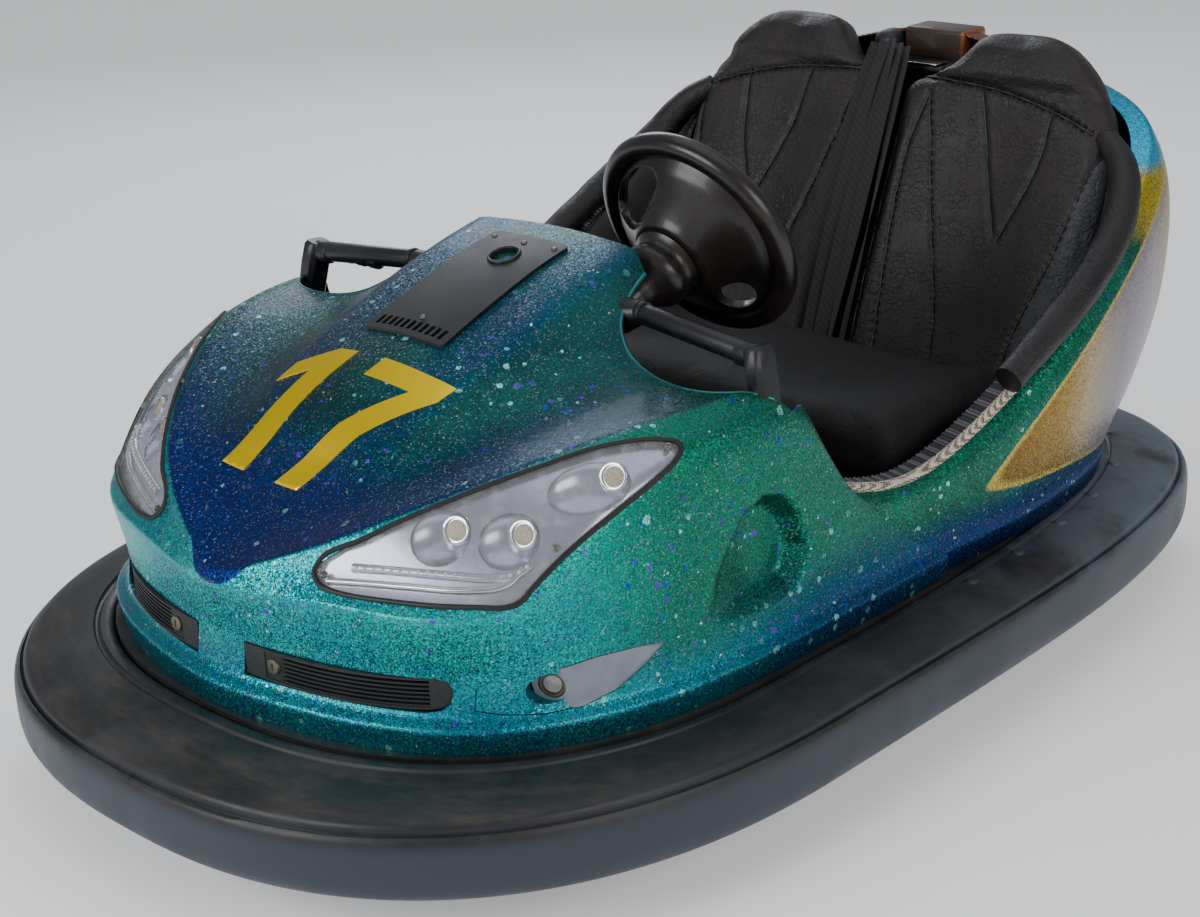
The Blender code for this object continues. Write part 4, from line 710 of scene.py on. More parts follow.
# %% [markdown]
# ## The body shells
# A fibreglass body is laid up in a mould. Its form is one smooth sheet with a few feature lines, so it is drawn
# as a few sections from the rim up to the centre line. Each line that joins the sections is one feature, such as
# the swage or the fold of the hood. A smoothing surface runs through them, and a wall is added inwards.
# %% Sections of the front shell
BODY_HALF_WIDTH, BODY_LENGTH, RIM_HEIGHT, HOOD_RISE = 0.50, 0.80, 0.205, 0.495
# Each section has, as shares of half width, length and rise, the points: rim, lip, mouth low, mouth high, swage,
# lamp low, lamp middle, vee fold, vale, hood bulge edge and spine.
FRONT_SHARES = (
    # Nose.
    (
        (0, -1.013, 0), (0, -1.019, 0.071), (0, -0.994, 0.095), (0, -0.985, 0.200),
        (0, -0.997, 0.320), (0, -1.000, 0.335), (0, -1.000, 0.345), (0, -0.990, 0.360),
        (0, -0.893, 0.445), (0, -0.787, 0.576), (0, -0.750, 0.636),
    ),
    # Inner end of the lamp.
    (
        (0.408, -0.970, 0), (0.412, -0.975, 0.071), (0.396, -0.952, 0.095), (0.394, -0.946, 0.196),
        (0.400, -0.957, 0.378), (0.372, -0.945, 0.396), (0.320, -0.926, 0.440), (0.262, -0.929, 0.462),
        (0.180, -0.850, 0.495), (0.200, -0.762, 0.616), (0, -0.719, 0.687),
    ),
    # Front corner.
    (
        (0.782, -0.848, 0), (0.790, -0.856, 0.071), (0.766, -0.835, 0.095), (0.760, -0.829, 0.192),
        (0.774, -0.856, 0.366), (0.775, -0.830, 0.396), (0.680, -0.819, 0.495), (0.524, -0.814, 0.592),
        (0.340, -0.775, 0.576), (0.290, -0.687, 0.697), (0, -0.650, 0.768),
    ),
    # Side, at the outer end of the lamp.
    (
        (1.000, -0.572, 0), (1.014, -0.575, 0.071), (0.986, -0.569, 0.095), (0.976, -0.563, 0.192),
        (0.962, -0.585, 0.485), (0.945, -0.615, 0.620), (0.905, -0.590, 0.677), (0.800, -0.569, 0.727),
        (0.480, -0.550, 0.690), (0.304, -0.537, 0.808), (0, -0.537, 0.848),
    ),
    # Side, beside the front of the cockpit.
    (
        (1.030, -0.200, 0), (1.040, -0.200, 0.071), (1.016, -0.200, 0.095), (1.010, -0.206, 0.192),
        (1.004, -0.237, 0.576), (1.004, -0.269, 0.667), (0.982, -0.300, 0.725), (0.900, -0.362, 0.754),
        (0.560, -0.313, 0.747), (0.314, -0.313, 0.935), (0, -0.313, 0.970),
    ),
    # Rear edge, round the front of the cockpit.
    (
        (1.032, 0.162, 0), (1.040, 0.144, 0.071), (1.020, 0.125, 0.101), (1.010, 0.050, 0.162),
        (0.994, -0.119, 0.414), (0.990, -0.178, 0.556), (0.980, -0.220, 0.690), (0.910, -0.234, 0.750),
        (0.520, -0.218, 0.762), (0.316, -0.168, 0.990), (0, -0.156, 1.010),
    ),
)
FRONT_CREASES = (0, 0.5, 0.35, 0.35, 0.5, 0, 0, 0.62, 0, 0.55, 0)
# Rear sections: rim, lip, lip top, low side, middle side, high side, shoulder, top edge and turned-in edge.
REAR_SHARES = (
    # Under the front shell.
    (
        (0.985, -0.150, 0), (0.998, -0.150, 0.060), (0.990, -0.150, 0.091), (0.980, -0.150, 0.160),
        (0.976, -0.150, 0.240), (0.972, -0.150, 0.310), (0.964, -0.150, 0.365), (0.940, -0.150, 0.394),
        (0.890, -0.150, 0.402),
    ),
    # Lowest point of the sill.
    (
        (0.998, 0.100, 0), (1.006, 0.100, 0.060), (0.996, 0.100, 0.091), (0.990, 0.100, 0.141),
        (0.998, 0.100, 0.212), (1.002, 0.100, 0.262), (0.994, 0.100, 0.293), (0.968, 0.100, 0.310),
        (0.918, 0.100, 0.317),
    ),
    # Beside the cushion.
    (
        (1.020, 0.375, 0), (1.034, 0.375, 0.060), (1.026, 0.375, 0.091), (1.044, 0.375, 0.192),
        (1.054, 0.375, 0.293), (1.056, 0.375, 0.384), (1.042, 0.375, 0.438), (1.010, 0.375, 0.465),
        (0.956, 0.375, 0.470),
    ),
    # Beside the backrest.
    (
        (0.990, 0.625, 0), (1.004, 0.625, 0.060), (0.994, 0.625, 0.091), (1.040, 0.625, 0.253),
        (1.074, 0.625, 0.455), (1.080, 0.625, 0.596), (1.064, 0.625, 0.667), (1.030, 0.625, 0.701),
        (0.970, 0.625, 0.690),
    ),
    # Rear corner.
    (
        (0.880, 0.831, 0), (0.894, 0.838, 0.060), (0.886, 0.834, 0.091), (0.968, 0.875, 0.313),
        (1.014, 0.912, 0.556), (1.012, 0.944, 0.798), (0.984, 0.950, 0.960), (0.940, 0.931, 1.060),
        (0.890, 0.903, 1.055),
    ),
    # Tail, beside the middle.
    (
        (0.540, 0.987, 0), (0.550, 0.996, 0.060), (0.544, 0.990, 0.091), (0.600, 1.037, 0.333),
        (0.640, 1.075, 0.596), (0.640, 1.094, 0.859), (0.620, 1.081, 1.061), (0.580, 1.044, 1.182),
        (0.540, 1.000, 1.182),
    ),
    # Middle of the tail.
    (
        (0, 1.031, 0), (0, 1.040, 0.060), (0, 1.034, 0.091), (0, 1.075, 0.354),
        (0, 1.112, 0.636), (0, 1.125, 0.919), (0, 1.106, 1.162), (0, 1.062, 1.313),
        (0, 1.012, 1.320),
    ),
)
REAR_CREASES = (0, 0.4, 0, 0, 0.2, 0, 0, 0.5, 0)


def on_body(shares):
    x, y, z = shares
    return Vector((x * BODY_HALF_WIDTH, y * BODY_LENGTH, RIM_HEIGHT + z * HOOD_RISE))


def between(sections, bays):
    """Smooth in-between sections, so many to each bay."""
    result = []
    last = len(sections) - 1
    for bay in range(last):
        for step in range(bays):
            t = step / bays
            row = []
            for spot in range(len(sections[0])):
                p0, p1, p2, p3 = [Vector(sections[min(max(bay + k, 0), last)][spot]) for k in (-1, 0, 1, 2)]
                slope1 = (p2 - p0) / 2 if bay > 0 else p2 - p1
                slope2 = (p3 - p1) / 2 if bay < last - 1 else p2 - p1
                row.append(p1 * (2 * t**3 - 3 * t**2 + 1) + slope1 * (t**3 - 2 * t**2 + t)
                           + p2 * (3 * t**2 - 2 * t**3) + slope2 * (t**3 - t**2))
            result.append(row)
    result.append([Vector(point) for point in sections[last]])
    return result


def hull_sheet(name, sections, creases, level):
    """The whole sheet of a shell, mirrored and smoothed, with its hull map."""
    rows = between(sections, 2)
    bm = bmesh.new()
    hull_map = bm.loops.layers.uv.new("hull_map")
    crease = bm.edges.layers.float.new("crease_edge")
    verts = [[bm.verts.new(on_body(point)) for point in row] for row in rows]
    stations, lines = len(rows) - 1, len(rows[0]) - 1
    for s in range(stations):
        for n in range(lines):
            corners = ((s, n), (s + 1, n), (s + 1, n + 1), (s, n + 1))
            face = bm.faces.new([verts[a][b] for a, b in corners])
            for corner, (a, b) in zip(face.loops, corners):
                corner[hull_map].uv = (a / stations, b / lines)
    for s in range(stations):
        for n, share in enumerate(creases):
            bm.edges.get((verts[s][n], verts[s + 1][n]))[crease] = share
    obj = mesh_object(name, bm)
    modified(obj, "mirror", "MIRROR", use_clip=True)
    modified(obj, "smooth", "SUBSURF", levels=level, render_levels=level)
    apply_modifiers(obj)
    return obj


def offset_sheet(sheet, name, amount):
    """A copy of a sheet, moved out along its normals by an amount."""
    copy = in_scene(name, sheet.data.copy())
    normals = [v.normal.copy() for v in copy.data.vertices]
    for vert, normal in zip(copy.data.vertices, normals):
        vert.co += normal * amount
    return copy


def walled(sheet, name, outside, inside, lined=False):
    """A closed slab between two offsets of a sheet, measured outwards. Lined, its inside has a second slot."""
    copy = offset_sheet(sheet, name, outside)
    wall = modified(copy, "wall", "SOLIDIFY", thickness=outside - inside, offset=-1)
    if lined:
        copy.data.materials.append(hull_paint)
        copy.data.materials.append(inner_gelcoat)
        wall.material_offset = 1
    apply_modifiers(copy)
    return copy


front_sheet = hull_sheet("front_sheet", FRONT_SHARES, FRONT_CREASES, 3)
rear_sheet = hull_sheet("rear_sheet", REAR_SHARES, REAR_CREASES, 3)
print("sheets:", len(front_sheet.data.polygons), len(rear_sheet.data.polygons), "faces")

# %% [markdown]
# ## The pocket in each side
# Behind each front corner the mould has a D-shaped dish: steep at its rear edge and running out to nothing at the
# front. It is part of the same sheet, so the sheet's own points are pushed in, by how far each lies inside the
# outline. The sheet is divided finely there first.
# %% Dish the side pockets into the sheet
POCKET = ((-0.395, 0.300), (-0.300, 0.296), (-0.215, 0.301), (-0.192, 0.318), (-0.184, 0.352), (-0.200, 0.404),
          (-0.232, 0.440), (-0.270, 0.450), (-0.312, 0.436), (-0.362, 0.375))
POCKET_DEPTH = 0.034
# The points from here outwards in x are dished, and the push fades in over this band inside the outline.
POCKET_FROM, POCKET_EDGE, POCKET_WALL = 0.40, -0.004, 0.022


def inside_outline(outline, y, z):
    """How far a point lies inside an outline of (y, z) points, or less than nothing outside it."""
    near = 1.0
    crossings = 0
    for (y0, z0), (y1, z1) in zip(outline, outline[1:] + outline[:1]):
        run, rise = y1 - y0, z1 - z0
        share = min(max(((y - y0) * run + (z - z0) * rise) / (run * run + rise * rise), 0), 1)
        near = min(near, math.hypot(y - y0 - share * run, z - z0 - share * rise))
        if (z0 > z) != (z1 > z) and y < y0 + (z - z0) / (z1 - z0) * run:
            crossings += 1
    return near if crossings % 2 else -near


def dish_pockets(sheet):
    bm = bmesh.new()
    bm.from_mesh(sheet.data)
    for _ in range(2):
        chosen = []
        for face in bm.faces:
            spot = face.calc_center_median()
            if abs(spot.x) > POCKET_FROM and inside_outline(POCKET, spot.y, spot.z) > -0.012:
                chosen.append(face)
        edges = list({edge for face in chosen for edge in face.edges})
        bmesh.ops.subdivide_edges(bm, edges=edges, cuts=1, use_grid_fill=True)
    for vert in bm.verts:
        if abs(vert.co.x) > POCKET_FROM:
            deep = inside_outline(POCKET, vert.co.y, vert.co.z)
            if deep > POCKET_EDGE:
                forward = ease(-0.40, -0.26, vert.co.y)
                push = POCKET_DEPTH * ease(POCKET_EDGE, POCKET_WALL, deep) * forward
                vert.co.x -= math.copysign(push, vert.co.x)
    bm.to_mesh(sheet.data)
    bm.free()


pocket_sheet = offset_sheet(front_sheet, "front_shell", 0.0)
dish_pockets(pocket_sheet)
print("front sheet with pockets:", len(pocket_sheet.data.polygons), "faces")

# %% [markdown]
# ## Openings in the front shell
# The mould leaves holes for the lamps, the mouth covers and the fog lamps. Each hole is a closed prism taken out
# of the shell with a Boolean, and the same outlines shape the pieces that fill the holes.
# %% Lamp outline and mouth outlines
LAMP_CENTRE = on_body((0.63, -0.70, 0.485))
LAMP_OUT = Vector((0.52, -0.52, 0.68)).normalized()
LAMP_ALONG = (Vector((1, 1, 0)) - LAMP_OUT * LAMP_OUT.dot(Vector((1, 1, 0)))).normalized()
LAMP_ACROSS = LAMP_OUT.cross(LAMP_ALONG)
# The lamp's outline as metres along and across its own slanted plane.
LAMP_OUTLINE = ((-0.2397, -0.0304), (-0.2365, -0.0520), (-0.2250, -0.0630), (-0.1269, -0.0976), (-0.0329, -0.1152),
                (0.0047, -0.1168), (0.0200, -0.1110), (0.0329, -0.0980), (0.0893, -0.0480), (0.1457, -0.0032),
                (0.1927, 0.0368), (0.2200, 0.0660), (0.2256, 0.0800), (0.2220, 0.0890), (0.2115, 0.0925),
                (0.1457, 0.0896), (0.0423, 0.0608), (-0.0658, 0.0272), (-0.1739, -0.0064))
GRILLE_OUTLINE = ((0.050, 0.2565), (0.315, 0.2565), (0.331, 0.2600), (0.340, 0.2680), (0.342, 0.2860),
                  (0.337, 0.2965), (0.325, 0.3000), (0.050, 0.3000))
FOG_OUTLINE = ((0.365, 0.2600), (0.390, 0.2540), (0.425, 0.2505), (0.450, 0.2525), (0.465, 0.2630), (0.4745, 0.2830),
               (0.4815, 0.3055), (0.472, 0.3110), (0.453, 0.3110), (0.430, 0.3040), (0.380, 0.2970), (0.365, 0.2870))


def grown(outline, margin):
    """A counterclockwise outline moved outwards by a margin."""
    result = []
    for here, point in enumerate(outline):
        before, after = Vector(outline[here - 1]), Vector(outline[(here + 1) % len(outline)])
        point = Vector(point)
        one, two = (point - before).normalized(), (after - point).normalized()
        out = Vector((one.y + two.y, -one.x - two.x)).normalized()
        result.append(point + out * (margin / max(out.dot(Vector((one.y, -one.x))), 0.4)))
    return result


def on_lamp(side, along, across, out=0.0):
    return on_side(side, LAMP_CENTRE + LAMP_ALONG * along + LAMP_ACROSS * across + LAMP_OUT * out)


def lamp_prism(side, margin):
    rings = [[on_lamp(side, a, b, out) for a, b in grown(LAMP_OUTLINE, margin)] for out in (-0.12, 0.12)]
    return mesh_object("lamp_prism", loft(rings))


def mouth_prism(side, outline, margin, front=-0.84, back=-0.32):
    rings = [[(side * x, y, z) for x, z in grown(outline, margin)] for y in (front, back)]
    return mesh_object("mouth_prism", loft(rings))


NOSE_HALF_WIDTH, NOSE_REACH, NOSE_START, NOSE_POWER = 0.523, 0.555, -0.26, 2.45


def mouth_arc(inset, x):
    """The y of the body's front edge in plan at x, drawn in by an inset."""
    share = min(abs(x) / (NOSE_HALF_WIDTH - inset), 1.0)
    return NOSE_START - (NOSE_REACH - inset) * (1 - share**NOSE_POWER) ** (1 / NOSE_POWER)


# The cockpit edge swings forward beside each grab handle, drawn here in plan.
NOTCH = ((0.181, -0.130), (0.189, -0.165), (0.202, -0.203), (0.221, -0.236), (0.245, -0.256), (0.272, -0.269),
         (0.322, -0.281), (0.371, -0.286), (0.410, -0.281), (0.436, -0.266), (0.457, -0.243), (0.475, -0.222),
         (0.492, -0.207))
front_shell = walled(pocket_sheet, "front_shell_wall", 0.0, -0.004, lined=True)
bpy.data.objects.remove(pocket_sheet, do_unlink=True)
for side, hand in SIDES:
    cut(front_shell, lamp_prism(side, 0.0015))
    cut(front_shell, mouth_prism(side, GRILLE_OUTLINE, 0.001))
    cut(front_shell, mouth_prism(side, FOG_OUTLINE, 0.001))
    notch = [(side * x, y) for x, y in NOTCH + ((0.60, -0.205), (0.60, 0.30), (0.181, 0.30))]
    cut(front_shell, mesh_object("notch", loft([[(x, y, z) for x, y in notch] for z in (0.545, 0.80)])))
keep(front_shell, "front_shell", (hull_paint, inner_gelcoat), "root",
     ("front_body", "side_pocket_left", "side_pocket_right"), smooth=42)
print("front shell:", len(front_shell.data.polygons), "faces")

# %% Rear shell
rear_shell = walled(rear_sheet, "rear_shell_wall", 0.0, -0.004, lined=True)
keep(rear_shell, "rear_shell", (flank_paint, inner_gelcoat), "root", ("rear_body",), smooth=42)
print("rear shell:", len(rear_shell.data.polygons), "faces")

# %% [markdown]
# ## The rubber ring
# The ring is one moulding that runs all the way round the car. Its section is the same everywhere and only gets
# deeper at the nose, so it is drawn once, from the well to the outer wall, and swept round two outlines. The
# groove under the top lip and the one beside the body are part of the section.
# %% Sweep the ring
RING_SECTION = (
    (0.00, 0.20), (0.03, 0.09), (0.10, 0.02), (0.30, 0.00), (0.70, 0.00), (0.84, 0.015), (0.91, 0.06), (0.955, 0.12),
    (0.985, 0.20), (0.997, 0.29), (1.00, 0.40), (1.00, 0.55), (0.996, 0.63), (0.985, 0.695), (0.966, 0.745),
    (0.945, 0.768), (0.930, 0.765), (0.922, 0.740), (0.910, 0.735), (0.898, 0.755), (0.893, 0.800), (0.880, 0.838),
    (0.850, 0.865), (0.76, 0.905), (0.60, 0.945), (0.45, 0.972), (0.30, 0.992), (0.215, 0.996), (0.200, 0.965),
    (0.175, 0.955), (0.155, 0.968), (0.145, 0.998), (0.10, 1.00), (0.04, 0.99), (0.00, 0.93))
RING_LOW, RING_HIGH = 0.078, 0.203


def egg(angle, half_width, front, rear, centre, front_power, rear_power):
    """A point in plan on a blunt nose and a squarer tail that meet at y = -centre."""
    cosine, sine = math.cos(angle), math.sin(angle)
    power, reach = (front_power, front - centre) if sine < 0 else (rear_power, rear + centre)
    return (math.copysign(abs(cosine) ** (2 / power), cosine) * half_width,
            math.copysign(abs(sine) ** (2 / power), sine) * reach - centre)


def ring_point(angle, across, up):
    x0, y0 = egg(angle, 0.523, 0.815, 0.855, 0.26, 2.45, 3.4)
    x1, y1 = egg(angle, 0.633, 0.975, 0.975, 0.263, 2.38, 4.12)
    return Vector((x0 + (x1 - x0) * across, y0 + (y1 - y0) * across, RING_LOW + up * (RING_HIGH - RING_LOW)))


RING_STEPS = 224
rings = [[ring_point(math.tau * step / RING_STEPS, a, u) for a, u in RING_SECTION] for step in range(RING_STEPS)]
ring = mesh_object("ring", loft(rings, around=True))
keep(ring, "rubber_ring", ring_rubber, "root", ("bumper_ring",), smooth=50)

# Low round studs stand on the top of the ring along its rear half.
STUD_ACROSS, STUD_HEIGHT = 0.27, Vector((0, 0, 0.0045))
stud_spots = []
for side, hand in SIDES:
    for y in (0.13, 0.26, 0.395, 0.526, 0.66, 0.785):
        angle = min((math.tau * k / 900 for k in range(-200, 300)),
                    key=lambda a: abs(ring_point(a, STUD_ACROSS, 1.0).y - y) + (ring_point(a, STUD_ACROSS, 1).x < 0))
        stud_spots.append(on_side(side, ring_point(angle, STUD_ACROSS, 0.985)))
stud_spots += [Vector((x, 0.902, 0.1995)) for x in (0.3, 0.0, -0.3)]
studs = [bar(spot, spot + STUD_HEIGHT, 0.0110, 20, 0.0070, 0.0010) for spot in stud_spots]
keep(joined(studs), "ring_studs", ring_rubber)
print("ring:", len(ring.data.polygons), "faces and", len(studs), "studs")

# %% [markdown]
# ## Headlamps
# Each lamp is a metallised plastic plate behind a clear cover. Three teardrop bowls are pressed into the plate,
# and a round LED unit looks forward out of each. A bent bar carries a row of small LED beads along the lower edge.
# A rubber gasket seals the cover, and four screws hold it.
# %% Find the skin under a point
skin = BVHTree.FromObject(front_sheet, bpy.context.evaluated_depsgraph_get())


def lamp_skin(side, along, across, lift=0.0):
    """The point of the skin under a place in the lamp's plane, lifted along the lamp's normal."""
    start = on_lamp(1, along, across, 0.15)
    spot = skin.ray_cast(start, -LAMP_OUT)[0]
    spot = on_lamp(1, along, across, -0.005) if spot is None else spot
    return on_side(side, spot + LAMP_OUT * lift)


# %% Rolled edge of the cockpit beside the handles
for side, hand in SIDES:
    spots = []
    for x, y in smooth_points(NOTCH[:-1], 6):
        spot = skin.ray_cast(Vector((x, y, 0.9)), DOWN)[0]
        if spot is not None:
            spots.append(Vector((side * spot.x, spot.y, spot.z - 0.0022)))
    keep(tube("lip", spots, 0.0034, 2, 3), "cockpit_lip_" + hand, lip_lacquer, smooth=60)
print("cockpit edge ready")

# %% Plate, bowls, LED units, beads, gasket, cover and screws
# Bowls as (along, across, half length, half width) and each LED as (along, across) in metres in the lamp's plane.
BOWLS = ((-0.079, -0.018, 0.043, 0.037), (0.006, -0.033, 0.041, 0.037), (0.107, 0.030, 0.054, 0.038))
LEDS = ((-0.0565, -0.007), (0.0265, -0.0225), (0.1405, 0.047))
LED_LOOK = Vector((0.34, -0.86, 0.38)).normalized()
BEAD_LINE = ((-0.190, -0.038), (-0.134, -0.052), (-0.071, -0.067), (-0.010, -0.078), (0.014, -0.077),
             (0.033, -0.066))
TRIM_LINE = ((-0.222, -0.050), (-0.180, -0.060), (-0.118, -0.075), (-0.040, -0.090), (0.002, -0.088),
             (0.024, -0.070))
BEAD_COUNT = 20
# Heights along the lamp's normal, from the skin: the plate's two faces, and how deep the bowls and LEDs sit.
PLATE_FACE, PLATE_BACK, BOWL_ROOF, BOWL_SINK, LED_SINK = -0.0085, -0.0115, -0.0095, -0.008, -0.020
PLATE_MARGIN, BOWL_DEPTH, BOWL_TURN, LINER_WALL = -0.0012, 0.022, math.radians(14), 0.0008
SCREWS = ((-0.2265, -0.0424), (0.2084, 0.0830), (-0.0118, 0.0445), (0.0640, -0.0490))


def along_line(points, share):
    """A point at a share of the length of a bent line."""
    legs = [math.dist(a, b) for a, b in zip(points, points[1:])]
    left = share * sum(legs)
    for (a, b), leg in zip(zip(points, points[1:]), legs):
        if left <= leg or b == points[-1]:
            part = min(left / leg, 1.0)
            return tuple(p + (q - p) * part for p, q in zip(a, b))
        left -= leg


for side, hand in SIDES:
    plate = walled(front_sheet, "plate", PLATE_FACE, PLATE_BACK)
    cut(plate, lamp_prism(side, PLATE_MARGIN), "INTERSECT")
    look = on_side(side, LED_LOOK)
    frame_axes = Matrix((LAMP_ALONG, LAMP_ACROSS, LAMP_OUT)).transposed().to_4x4()
    liners = []
    for (a, b, half_long, half_wide) in BOWLS:
        bpy.ops.mesh.primitive_uv_sphere_add(segments=64, ring_count=40)
        bowl = bpy.context.object
        tilt = Matrix.Rotation(BOWL_TURN, 4, "Z")
        size = Matrix.Diagonal((half_long, half_wide, BOWL_DEPTH, 1))
        place = Matrix.Translation(lamp_skin(1, a, b, BOWL_SINK)) @ frame_axes @ tilt @ size
        bowl.data.transform(Matrix.Diagonal((side, 1, 1, 1)) @ place)
        if side < 0:
            bowl.data.flip_normals()
        bm = bmesh.new()
        bm.from_mesh(bowl.data)
        high = []
        for face in bm.faces:
            middle = face.calc_center_median()
            middle.x *= side
            roof = skin.ray_cast(middle + LAMP_OUT * 0.1, -LAMP_OUT)[0]
            if roof is None or (middle - roof).dot(LAMP_OUT) > BOWL_ROOF:
                high.append(face)
        bmesh.ops.delete(bm, geom=high, context="FACES")
        liner = mesh_object("liner", bm)
        modified(liner, "wall", "SOLIDIFY", thickness=LINER_WALL, offset=1)
        apply_modifiers(liner)
        liners.append(liner)
        cut(plate, bowl)
    plate_faces = len(plate.data.polygons)
    keep(joined([plate] + liners), "lamp_plate_" + hand, lamp_plate, "root", ("headlamp_" + hand,),
         smooth=40)
    print("plate:", plate_faces, "faces")

    rims, faces = [], []
    for a, b in LEDS:
        spot = lamp_skin(side, a, b, LED_SINK)
        barrel = bar(spot - look * 0.018, spot + look * 0.008, 0.0185, 36, None, 0.001)
        cut(barrel, bar(spot + look * 0.0035, spot + look * 0.02, 0.0155, 36))
        rims.append(barrel)
        faces.append(bar(spot, spot + look * 0.0045, 0.0135, 32, None, 0.0006))
        turn_to = Vector((0, 0, 1)).rotation_difference(look)
        for ring_radius, count in ((0.0045, 5), (0.0098, 11)):
            for k in range(count):
                angle = math.tau * k / count
                off = turn_to @ Vector((ring_radius * math.cos(angle), ring_radius * math.sin(angle), 0))
                faces.append(ball(spot + off + look * 0.0045, 0.0017, 8, 5))
    keep(joined(rims), "led_barrels_" + hand, lamp_chrome, smooth=40)
    keep(joined(faces), "led_faces_" + hand, led_phosphor, smooth=60)

    rail_points = [lamp_skin(side, a, b, -0.0095) for a, b in BEAD_LINE]
    rail = tube("rail", rail_points, 0.0062, 8, 4)
    keep(rail, "bead_rail_" + hand, lamp_plate)
    bead_places = [along_line(BEAD_LINE, (k + 0.5) / BEAD_COUNT) for k in range(BEAD_COUNT)]
    beads = [ball(lamp_skin(side, a, b, -0.0045), 0.0030, 12, 8) for a, b in bead_places]
    keep(joined(beads), "led_beads_" + hand, led_bead, smooth=180)
    lower = [lamp_skin(side, a, b, -0.008) for a, b in TRIM_LINE]
    keep(tube("lower", lower, 0.0050, 8, 4), "lamp_trim_" + hand, lamp_chrome)

    cover = walled(front_sheet, "cover", 0.0006, -0.0022)
    cut(cover, lamp_prism(side, 0.0), "INTERSECT")
    keep(cover, "lamp_cover_" + hand, clear_lens, "root", ("headlamp_lens_" + hand,), smooth=40)

    edge_points = [lamp_skin(side, a, b, 0.0003) for a, b in grown(LAMP_OUTLINE, -0.0010)]
    gasket = tube("gasket", edge_points, 0.0036, 6, 3, cyclic=True)
    keep(gasket, "lamp_gasket_" + hand, gasket_rubber)

    heads = []
    out = on_side(side, LAMP_OUT)
    for a, b in SCREWS:
        low = lamp_skin(side, a, b, -0.004)
        head = bar(low, low + out * 0.0062, 0.0046, 20, None, 0.001)
        cut(head, bar(low + out * 0.0045, low + out * 0.009, 0.0022, 6))
        heads.append(head)
    keep(joined(heads), "lamp_screws_" + hand, zinc_screw, smooth=40)
print("lamps ready")

# %% [markdown]
# ## Mouth covers
# Two ribbed plastic covers fill the mouth, and each lifts out to reach the plugs behind. A textured frame follows
# the curve of the nose. Louvred ribs stand in it, and a round lock barrel holds it at its inner end.
# %% Grilles with their locks
GRILLE_INSET = 0.030
RIB_FACE, RIB_BACK = GRILLE_INSET + 0.001, GRILLE_INSET + 0.018
RIBS, RIB_PITCH, RIB_DEPTH, RIB_LOW = 6, 0.0059, 0.0052, 0.2604
RIB_TOP = RIB_LOW + RIB_PITCH * RIBS + 0.0006
# The inner end of each cover is a flat pad for the lock.
RIB_FIRST_X, RIB_LAST_X, PAD_END_X, LOCK_X = 0.0888, 0.3152, 0.118, 0.1035


def arc_slab(side, near, far, first, last, low, high, steps=24):
    """A curved slab that follows the nose in plan, between two insets."""
    outline = []
    for inset, order in ((near, range(steps + 1)), (far, range(steps, -1, -1))):
        for step in order:
            x = first + (last - first) * step / steps
            outline.append((side * x, mouth_arc(inset, x)))
    return mesh_object("arc_slab", loft([[(x, y, z) for x, y in outline] for z in (low, high)]))


for side, hand in SIDES:
    frame_piece = mouth_prism(side, GRILLE_OUTLINE, 0.0)
    cut(frame_piece, arc_slab(side, GRILLE_INSET, 0.075, 0.0, 0.40, 0.2, 0.4), "INTERSECT")
    cut(frame_piece, arc_slab(side, GRILLE_INSET - 0.02, GRILLE_INSET + 0.012, 0.088, 0.316, 0.2600, 0.2968))
    keep(frame_piece, "grille_frame_" + hand, grille_black, "root", ("grille_" + hand,), smooth=40)
    rows = []
    for step in range(33):
        x = RIB_FIRST_X + (RIB_LAST_X - RIB_FIRST_X) * step / 32
        depth = 0.0 if x < PAD_END_X else RIB_DEPTH
        face, groove = mouth_arc(RIB_FACE, x), mouth_arc(RIB_FACE + depth, x)
        row = [(mouth_arc(RIB_BACK, x), RIB_LOW)]
        for rib in range(RIBS):
            low = RIB_LOW + RIB_PITCH * rib
            row += [(face, low), (face, low + RIB_PITCH * 0.45),
                    (groove, low + RIB_PITCH * 0.55), (groove, low + RIB_PITCH * 0.98)]
        row += [(face, RIB_TOP), (mouth_arc(RIB_BACK, x), RIB_TOP)]
        rows.append([(side * x, y, z) for y, z in row])
    keep(mesh_object("ribs", loft(rows)), "grille_ribs_" + hand, rib_black, smooth=30)
    x, face = side * LOCK_X, mouth_arc(RIB_FACE, LOCK_X)
    lock = bar((x, face + 0.012, 0.2795), (x, face - 0.0035, 0.2795), 0.0105, 32, None, 0.001)
    cut(lock, block((x - 0.0012, face - 0.008, 0.2745), (x + 0.0012, face - 0.001, 0.2845)))
    keep(lock, "grille_lock_" + hand, lock_steel, smooth=40)
print("mouth covers ready")

